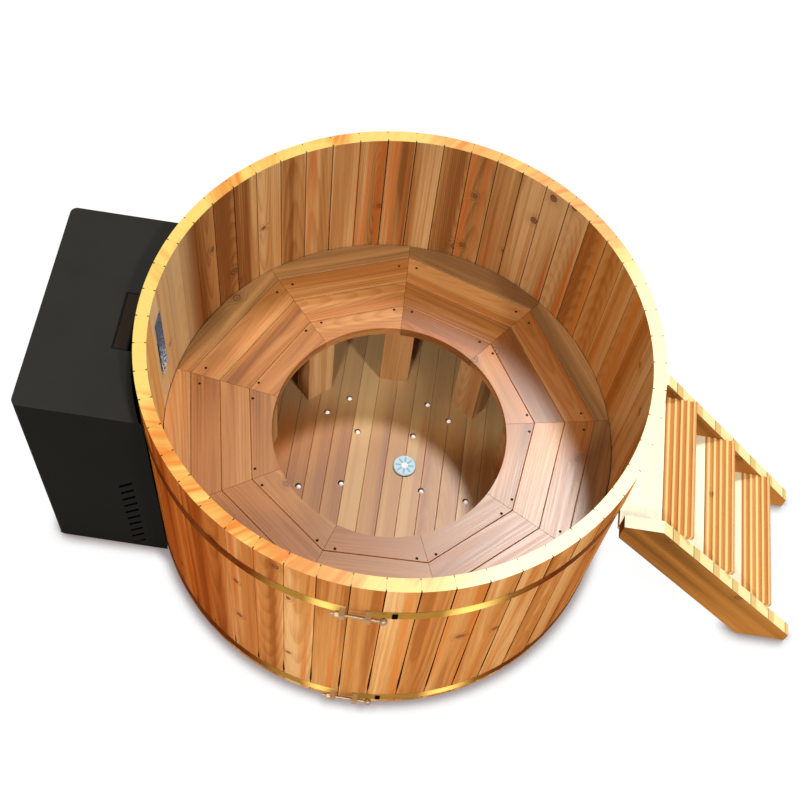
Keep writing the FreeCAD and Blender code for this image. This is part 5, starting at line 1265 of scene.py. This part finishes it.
@dataclass
class Water(Assembly):
    """Drain, air jets, skimmer and what lies inside the cabinet.

    Attributes:
        mesh_pitch: Wire to wire in the skimmer's mesh.
        mesh_wire: Thickness of a wire.
        frame_width: Width of the frame round the mesh.
        hub: Radius of the strainer's hub.
        slot_end: Radius at which the strainer's slots end.
        gauze_depth: How far the gauze's underside and top lie below the strainer's top.
        gauze_lap: How far the gauze reaches past the slots.
        jets: Places of the air jets.
        ball: Radius of the ball in each jet.
        ball_top: Height of its top.
        ball_height: Its height, if its socket is deep enough.
        dimple: Depth of the dimple in it, as a share of its height.
        lean: How far the balls lie off the middle of their sockets, so that the dark socket shows on one side as a
            painted shadow.
        glow: Strength of the painted light by which the strainer glows so that it stays bright in the shade; the balls
            glow twice as strongly.
    """

    mesh_pitch: float = 0.0110
    mesh_wire: float = 0.0026
    frame_width: float = 0.008
    hub: float = 0.011
    slot_end: float = 0.031
    gauze_depth: Range = (0.0012, 0.0005)
    gauze_lap: float = 0.001
    jets: tuple[Range, ...] = (
        (-0.226, 0.225), (-0.157, 0.292), (-0.110, 0.165), (0.084, 0.181), (0.119, 0.314), (0.200, 0.262),
        (-0.278, -0.074), (-0.137, -0.040), (0.137, -0.024), (0.292, -0.039), (-0.150, -0.270), (0.150, -0.270))
    ball: float = 0.0082
    ball_top: float = 0.0762
    ball_height: float = 0.0090
    dimple: float = 0.25
    lean: Range = (0.0016, -0.0014)
    glow: float = 0.2

    def mesh_material(self) -> bpy.types.Material:
        """Blue-grey wire that is paler towards the bottom.

        Returns:
            The finished material.
        """
        blank, look = MESH_WIRE.start("skimmer_wire", self.effects)
        wires = blank.wires
        _, _, height = wires.split(blank.place)
        low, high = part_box("skimmer_grille")
        share = wires.step(height, low.z, low.z + 0.75 * (high.z - low.z), 0.95, 0.1)
        speck = wires.step(wires.noise(blank.place, 110.0, 1.0), 0.42, 0.58)
        return MESH_WIRE.finish(blank, wires.mix(wires.product(share, speck), look["Colour"], MESH_SPECK), look)

    def skimmer_mesh(self) -> None:
        """A wire mesh in a flat frame, in the place of the slotted cover."""
        low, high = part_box("skimmer_grille")
        middle, thick = (low + high) / 2, high.x - low.x
        wide, tall = high.y - low.y, high.z - low.z
        net_wide, net_tall = wide - 2 * self.frame_width, tall - 2 * self.frame_width
        across, upright = round(net_wide / self.mesh_pitch), round(net_tall / self.mesh_pitch)
        mesh = bmesh.new()
        made = bmesh.ops.create_grid(mesh, x_segments=across, y_segments=upright, size=0.5)
        bmesh.ops.scale(mesh, vec=(net_wide, net_tall, 1.0), verts=made["verts"])
        bmesh.ops.wireframe(mesh, faces=mesh.faces[:], thickness=self.mesh_wire, use_replace=True,
                            use_boundary=True, use_even_offset=True)
        rim = bmesh.ops.create_grid(mesh, x_segments=1, y_segments=1, size=0.5)["verts"]
        bmesh.ops.scale(mesh, vec=(wide, tall, 1.0), verts=rim)
        face = rim[0].link_faces[0]
        bmesh.ops.inset_region(mesh, faces=[face], thickness=self.frame_width, use_even_offset=True)
        ring = [f for v in rim for f in v.link_faces]
        bmesh.ops.delete(mesh, geom=[face], context="FACES_ONLY")
        ring = list({f for f in ring if f.is_valid})
        bmesh.ops.solidify(mesh, geom=ring, thickness=thick * 0.9)
        spread = max(abs(v.co.z) for v in mesh.verts)
        bmesh.ops.scale(mesh, vec=(1.0, 1.0, 0.5 * thick / spread), verts=mesh.verts)
        bmesh.ops.rotate(mesh, matrix=Matrix(((0, 0, 1), (1, 0, 0), (0, 1, 0))), verts=mesh.verts)
        bmesh.ops.translate(mesh, vec=middle, verts=mesh.verts)
        bmesh.ops.recalc_face_normals(mesh, faces=mesh.faces[:])
        piece = self.add("skimmer_mesh", mesh, "tub", "mesh_plate", self.mesh_material())
        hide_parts("skimmer_grille")

    def strainer_material(self) -> bpy.types.Material:
        """Pale blue plate with a white hub and rim, glowing a little as painted light.

        Returns:
            The finished material.
        """
        blank, look = STRAINER_PLATE.start("strainer_plate", self.effects)
        wires = blank.wires
        low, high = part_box("drain_strainer")
        middle, radius = (low + high) / 2, (high.x - low.x) / 2
        x, y, _ = wires.split(blank.place)
        out = wires.length(wires.math("SUBTRACT", x, middle.x), wires.math("SUBTRACT", y, middle.y))
        white = wires.math("MAXIMUM", wires.step(out, self.hub - 0.001, self.hub + 0.004, 1.0, 0.0),
                           wires.step(out, radius - 0.004, radius - 0.001, 0.0, 0.6))
        colour = wires.mix(white, look["Colour"], STRAINER_HUB)
        # Painted light: the plate glows a little.
        blank.glow(colour, self.glow)
        return STRAINER_PLATE.finish(blank, colour, look)

    def strainer_gauze(self) -> None:
        """A ring of fine gauze in the strainer, seen through its slots."""
        low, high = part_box("drain_strainer")
        middle = (low + high) / 2
        bottom, top = (high.z - down for down in self.gauze_depth)
        inner, outer = self.hub - self.gauze_lap, self.slot_end + self.gauze_lap
        profile = ((inner, bottom), (outer, bottom), (outer, top), (inner, top))
        mesh = bmesh.new()
        corners = [mesh.verts.new((middle.x + out, middle.y, z)) for out, z in profile]
        edges = [mesh.edges.new((corners[number - 1], corners[number])) for number in range(len(corners))]
        bmesh.ops.spin(mesh, geom=corners + edges, cent=middle, axis=(0.0, 0.0, 1.0), angle=math.tau, steps=48,
                       use_merge=True)
        bmesh.ops.recalc_face_normals(mesh, faces=mesh.faces[:])
        self.add("strainer_gauze", mesh, "strainer", "bright_steel", STRAINER_GAUZE.material("gauze", self.effects))

    def jet_balls(self) -> None:
        """A turned-down ball in the socket of each air jet, with a lip and a dimple."""
        mesh = bmesh.new()
        low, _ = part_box("air_jets")
        foot = max(low.z, self.ball_top - self.ball_height)
        tall = self.ball_top - foot
        for x, y in self.jets:
            made = bmesh.ops.create_uvsphere(mesh, u_segments=24, v_segments=12, radius=self.ball)["verts"]
            bmesh.ops.scale(mesh, vec=(1.0, 1.0, tall / self.ball), verts=made)
            under = [v for v in made if v.co.z < -1e-6]
            bmesh.ops.delete(mesh, geom=under, context="VERTS")
            kept = [v for v in made if v.is_valid]
            top = max(kept, key=lambda v: v.co.z)
            bmesh.ops.translate(mesh, vec=(0.0, 0.0, -self.dimple * tall), verts=[top])
            bmesh.ops.translate(mesh, vec=(x + self.lean[0], y + self.lean[1], foot), verts=kept)
        rims = [e for e in mesh.edges if e.is_boundary]
        bmesh.ops.holes_fill(mesh, edges=rims, sides=0)
        bmesh.ops.recalc_face_normals(mesh, faces=mesh.faces[:])
        for face in mesh.faces:
            face.smooth = True
        blank, look = JET_BALL.start("jet_ball", self.effects)
        # Painted light: the balls glow a little.
        blank.glow(look["Colour"], 2.0 * self.glow)
        self.add("jet_balls", mesh, "tub", "white_plastic", JET_BALL.finish(blank, look["Colour"], look))

    def build(self) -> None:
        """Dress the water and air pieces, and make the mesh, the gauze and the jets' balls."""
        self.dress(self.strainer_material(), "drain_strainer")
        self.strainer_gauze()
        self.finish(DRAIN_STEEL, "drain_steel", "drain_fitting")
        self.finish(BRIGHT_STEEL, "works_steel", "pump_rotor", "heater", "drain_valve")
        self.finish(BLACK_CLIP, "valve_handle", "drain_valve_lever")
        # Painted shade: the sockets round the jets' balls are near-black.
        self.finish(JET_SOCKET_PAINTED_SHADE, "jet_socket_shade", "air_jets")
        self.jet_balls()
        self.finish(WHITE_PLASTIC, "white_plastic", "return_fitting", "filter_cartridge")
        self.finish(PIPE_PLASTIC, "pipe_plastic", "drain_pipes", "air_chambers", "air_pipes", "suction_pipe",
                    "heater_pipes")
        self.finish(GREY_PLASTIC, "grey_plastic", "skimmer_body", "blower_housing", "blower_wheel",
                    "pump_casing", "control_box")
        self.finish(MOTOR_PAINT, "motor_paint", "pump_motor")
        self.finish(MESH_WIRE, "cover_plate", "skimmer_grille")
        self.skimmer_mesh()


@dataclass
class Cabinet(Assembly):
    """The equipment cabinet with its hatch."""

    def paint_material(self) -> bpy.types.Material:
        """Black paint, lighter on the top in soft patches as painted light.

        Returns:
            The finished material.
        """
        blank, look = BLACK_PAINT.start("black_paint", self.effects)
        wires = blank.wires
        _, _, height = wires.split(blank.place)
        _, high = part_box("cabinet_top")
        cloud = wires.step(wires.noise(blank.place, 5.0, 3.0), 0.2, 0.8, 0.75, 1.0)
        # Painted light: the top face is lighter than the sides, in soft patches.
        dusty = wires.product(wires.top_face(height, high.z), cloud)
        return BLACK_PAINT.finish(blank, wires.mix(dusty, look["Colour"], TOP_PAINTED_LIGHT), look)

    def build(self) -> None:
        """Dress the cabinet."""
        self.dress(self.paint_material(), "cabinet_wrap", "cabinet_top", "cabinet_tub_panel", "cabinet_base")
        self.finish(HATCH_PAINT, "hatch_paint", "hatch_lid")


@dataclass
class Steps(Assembly):
    """The free-standing steps.

    Attributes:
        steps: Number of steps.
        slope: Direction of the stringers' fronts.
        front_edge: Distance of the stringers' sloping edge from the origin, square to it.
        edge_skin: Where that edge's planed face starts, below it.
        planed_run: Length after which the planed edge changes its tone again.
        groove_pitch: Groove to groove on the ribbed boards.
        nose: Where the red nose of a ribbed board starts, from its front.
        heart: How far below a board's top its heart lies.
        whole: A first joint and a pitch that leave a board without a joint.
    """

    steps: int = 3
    slope: Triple = (0.669, 0.0, -0.743)
    front_edge: float = 1.0803
    edge_skin: Range = (0.0016, 0.0008)
    planed_run: float = 0.132
    groove_pitch: float = 0.020
    nose: Range = (0.012, 0.004)
    heart: float = 0.07
    whole: Range = (-9.0, 30.0)

    def tread_material(self, number: int) -> bpy.types.Material:
        """Ribbed boards, with painted light on the ribs and painted shade in the grooves.

        Args:
            number: Number of the step.

        Returns:
            The finished material.
        """
        name = f"step_tread_{number}"
        low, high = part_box(name)
        boards = Boards(Lay.ROW, *self.whole, seed=number * 3.0, base=high.z - self.heart)
        blank, spot = TREAD_WOOD.start(f"ribbed_{name}", self.effects, boards)
        grain = TREAD_WOOD.grain(blank, self.effects, spot)
        wires = blank.wires
        x, _, _ = wires.split(blank.place)
        phase = wires.math("DIVIDE", wires.math("SUBTRACT", x, low.x), self.groove_pitch)
        # Painted light and shade: the ribs are paler and the grooves deeper, in step with the grooves.
        painted_rib_shading = wires.math("COSINE", wires.product(phase, math.tau))
        colour = wires.mix(wires.step(painted_rib_shading, -0.3, 0.8, 0.0, 0.7), grain["Colour"], TREAD_WOOD.deep)
        colour = wires.mix(wires.step(painted_rib_shading, -0.98, -0.2, 0.75, 0.0), colour, RIB_PAINTED_HIGHLIGHT)
        front = wires.step(x, high.x - self.nose[0], high.x - self.nose[1], 0.0, 0.7)
        return TREAD_WOOD.finish(blank, wires.mix(front, colour, NOSE_RED), grain)

    def stringer_material(self, boards: Boards) -> bpy.types.Material:
        """Brown sides with pale planed edges along the slope and the top.

        Args:
            boards: How the stringers lie.

        Returns:
            The finished material.
        """
        blank, spot = STRINGER_WOOD.start("stringer_wood", self.effects, boards)
        wires = blank.wires
        grain = STRINGER_WOOD.grain(blank, self.effects, spot, Shift=wires.step(spot["Along"], 0.0, 0.95, 0.42, -0.3))
        across, _, _ = wires.split(blank.turned(boards.turn()))
        _, _, height = wires.split(blank.place)
        _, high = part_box("step_stringer_front")
        level = wires.top_face(height, high.z)
        start, end = (self.front_edge - skin for skin in self.edge_skin)
        edge = wires.math("MAXIMUM", wires.step(across, start, end), level)
        run = wires.math("FRACT", wires.math("DIVIDE", spot["Along"], self.planed_run))
        planed = wires.mix(wires.step(run, 0.70, 0.72, 0.0, 0.8), PLANED_EDGE, PLANED_TAN)
        tone = wires.mix(0.85, grain["Colour"], planed)
        tone = wires.mix(wires.within(run, (0.66, 0.68), (0.70, 0.72), 0.8), tone, STRINGER_WOOD.deep)
        tone = wires.mix(wires.product(level, 0.9), tone, PLANED_TOP)
        return STRINGER_WOOD.finish(blank, wires.mix(edge, grain["Colour"], tone), grain)

    def build(self) -> None:
        """Dress the steps."""
        slope = Vector(self.slope)
        stringers = Boards(Lay.ROW, *self.whole, (-slope.z, 0.0, slope.x), self.slope, seed=4.0)
        self.dress(self.stringer_material(stringers), "step_stringer_front", "step_stringer_back")
        for number in range(1, self.steps + 1):
            self.dress(self.tread_material(number), f"step_tread_{number}")
            _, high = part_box(f"step_board_{number}")
            boards = Boards(Lay.ROW, *self.whole, seed=number * 5.0, base=high.z - self.heart)
            material = PLATFORM_WOOD.material(f"smooth_board_{number}", self.effects, boards)
            self.dress(material, f"step_board_{number}")


@dataclass
class Studio:
    """Floor, light and camera.

    Attributes:
        place: Where the camera stands.
        turn: How it is turned, in degrees.
        lens: Focal length on a 36 mm frame.
        sun_azimuth: Direction of the main light, in degrees from +X.
        sun_height: Its height over the ground, in degrees.
        sun_strength: Its strength.
        sun_spread: Its apparent size in degrees, which softens the shadows.
        fills: Direction and strength of each light behind the camera.
        fill_height: Their height over the ground, in degrees.
        fill_spread: Their apparent size in degrees.
        sky: Strength of the even light from all round.
        sun_colour: Colour of the main light.
        floor_size: Half of the floor's width.
        floor_drop: How far the floor lies below the ground.
        floor_colour: Colour of the floor.
        floor_white: How bright the floor is seen.
        floor_shadow: Tone of the shadow close to the object.
        floor_painted_shade: Tone of the painted shade on the floor under the cabinet.
        shadow_reach: How far from the object that shadow reaches.
        shadow_fade: Openness of the floor at which the shadow starts, and at which it ends.
        shadow_share: Share of that tone in what is seen of the floor.
        hidden_edge: Where the painted shade on the hidden floor starts, inside the cabinet's outline.
    """

    place: Triple = (0.0, -1.923495, 4.1011575)
    turn: Triple = (28.75780613, -4.39340659, 7.42368427)
    lens: float = 58.5605
    sun_azimuth: float = 69.0
    sun_height: float = 64.5
    sun_strength: float = 1.75
    sun_spread: float = 9.0
    fills: tuple[Range, ...] = ((-101.0, 1.1), (-44.0, 1.15))
    fill_height: float = 46.0
    fill_spread: float = 5.0
    sky: float = 0.4
    sun_colour: Colour = (1.0, 0.97, 0.93)
    floor_size: float = 14.0
    floor_drop: float = 0.0006
    floor_colour: Colour = (0.93, 0.92, 0.92)
    floor_white: Colour = (1.03, 1.03, 1.03)
    floor_shadow: Colour = (0.30, 0.25, 0.245)
    floor_painted_shade: Colour = (0.012, 0.011, 0.010)
    shadow_reach: float = 0.055
    shadow_fade: Range = (0.48, 0.97)
    shadow_share: float = 0.93
    hidden_edge: Range = (0.002, 0.004)

    def camera(self) -> None:
        """Stand the camera where the photograph was taken."""
        data = bpy.data.cameras.new("camera")
        data.lens = self.lens
        data.sensor_width = 36.0
        made = bpy.data.objects.new("camera", data)
        made.location = self.place
        made.rotation_euler = Euler([math.radians(angle) for angle in self.turn])
        bpy.context.scene.collection.objects.link(made)
        bpy.context.scene.camera = made

    @staticmethod
    def lamp(name: str, azimuth: float, height: float, strength: float, spread: float, colour: Colour) -> None:
        """A broad distant light.

        Args:
            name: Name of the light.
            azimuth: Direction that it shines from, in degrees from +X.
            height: Height over the ground, in degrees.
            strength: Strength of the light.
            spread: Apparent size in degrees.
            colour: Colour of the light.
        """
        data = bpy.data.lights.new(name, "SUN")
        data.energy, data.angle, data.color = strength, math.radians(spread), colour
        made = bpy.data.objects.new(name, data)
        towards = Vector((1.0, 0.0, 0.0))
        towards.rotate(Euler((0.0, -math.radians(height), 0.0)))
        towards.rotate(Euler((0.0, 0.0, math.radians(azimuth))))
        made.rotation_euler = towards.to_track_quat("Z", "Y").to_euler()
        bpy.context.scene.collection.objects.link(made)

    def light(self) -> None:
        """A main light behind the tub and softer ones behind the camera."""
        self.lamp("main_light", self.sun_azimuth, self.sun_height, self.sun_strength, self.sun_spread, self.sun_colour)
        for number, (azimuth, strength) in enumerate(self.fills, 1):
            self.lamp(f"front_light_{number}", azimuth, self.fill_height, strength, self.fill_spread, WHITE)

    @staticmethod
    def seen(wires: Wiring) -> bpy.types.NodeSocket:
        """Whether the camera, a reflection or glass sees the surroundings."""
        path = wires.node("ShaderNodeLightPath").outputs
        share = wires.math("MAXIMUM", path["Is Camera Ray"], path["Is Glossy Ray"])
        return wires.math("MAXIMUM", share, path["Is Transmission Ray"])

    def sky_light(self) -> None:
        """Even white light from all round, white behind the object."""
        world = bpy.data.worlds.new("studio")
        world.use_nodes = True
        bpy.context.scene.world = world
        wires = Wiring(world.node_tree)
        background = world.node_tree.nodes["Background"]
        background.inputs["Color"].default_value = (*WHITE, 1.0)
        strength = wires.math("MULTIPLY_ADD", self.seen(wires), 1.0 - self.sky, self.sky)
        wires.feed(background.inputs["Strength"], strength)

    def floor_tone(self, wires: Wiring) -> bpy.types.NodeSocket:
        """White, with a soft shadow close to the object and painted black shade under the cabinet.

        Args:
            wires: The nodes of the floor's material.

        Returns:
            The tone's socket.
        """
        near = wires.node("ShaderNodeAmbientOcclusion", samples=8)
        near.inputs["Distance"].default_value = self.shadow_reach
        tone = wires.mix(wires.step(near.outputs["AO"], *self.shadow_fade), self.floor_shadow, self.floor_white)
        # Painted shade: the floor inside the cabinet's outline is black.
        low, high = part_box("cabinet_wrap")
        x, y, _ = wires.split(wires.node("ShaderNodeTexCoord").outputs["Object"])
        start, end = self.hidden_edge
        hidden = wires.product(*(
            wires.within(place, (least + start, least + end), (most - end, most - start))
            for place, least, most in ((x, low.x, high.x), (y, low.y, high.y))))
        return wires.mix(hidden, tone, self.floor_painted_shade)

    def floor_material(self) -> bpy.types.Material:
        """A pale surface that is white where the camera or a reflection sees it.

        Returns:
            The finished material.
        """
        material = bpy.data.materials.new("studio_floor")
        material.use_nodes = True
        wires = Wiring(material.node_tree)
        material.node_tree.nodes.remove(material.node_tree.nodes["Principled BSDF"])
        plain, white = wires.node("ShaderNodeBsdfDiffuse"), wires.node("ShaderNodeEmission")
        plain.inputs["Color"].default_value = (*self.floor_colour, 1.0)
        wires.feed(white.inputs["Color"], self.floor_tone(wires))
        both = wires.node("ShaderNodeMixShader")
        wires.feed(both.inputs[0], wires.product(self.seen(wires), self.shadow_share))
        wires.feed(both.inputs[1], plain.outputs[0])
        wires.feed(both.inputs[2], white.outputs[0])
        wires.feed(material.node_tree.nodes["Material Output"].inputs["Surface"], both.outputs[0])
        return material

    def ground(self) -> None:
        """A pale floor that keeps a soft shadow."""
        mesh = bmesh.new()
        bmesh.ops.create_grid(mesh, x_segments=4, y_segments=4, size=self.floor_size)
        bmesh.ops.translate(mesh, vec=(0.0, 0.0, -self.floor_drop), verts=mesh.verts)
        data = bpy.data.meshes.new("studio_floor")
        mesh.to_mesh(data)
        mesh.free()
        data.materials.append(self.floor_material())
        made = bpy.data.objects.new("studio_floor", data)
        bpy.context.scene.collection.objects.link(made)

    def build(self) -> None:
        """Set up the camera, the light and the floor."""
        bpy.context.scene.view_settings.view_transform = "Standard"
        self.camera()
        self.light()
        self.sky_light()
        self.ground()


def main() -> None:
    """Dress every sub-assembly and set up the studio."""
    logging.basicConfig(level=logging.INFO, format="%(name)s: %(message)s")
    effects = Effects()
    for assembly in (Barrel(effects), Bench(effects), Bands(effects), Water(effects), Cabinet(effects), Steps(effects)):
        LOG.info("dressing the %s", type(assembly).__name__.lower())
        assembly.build()
    Studio().build()


if __name__ == "__main__":
    main()
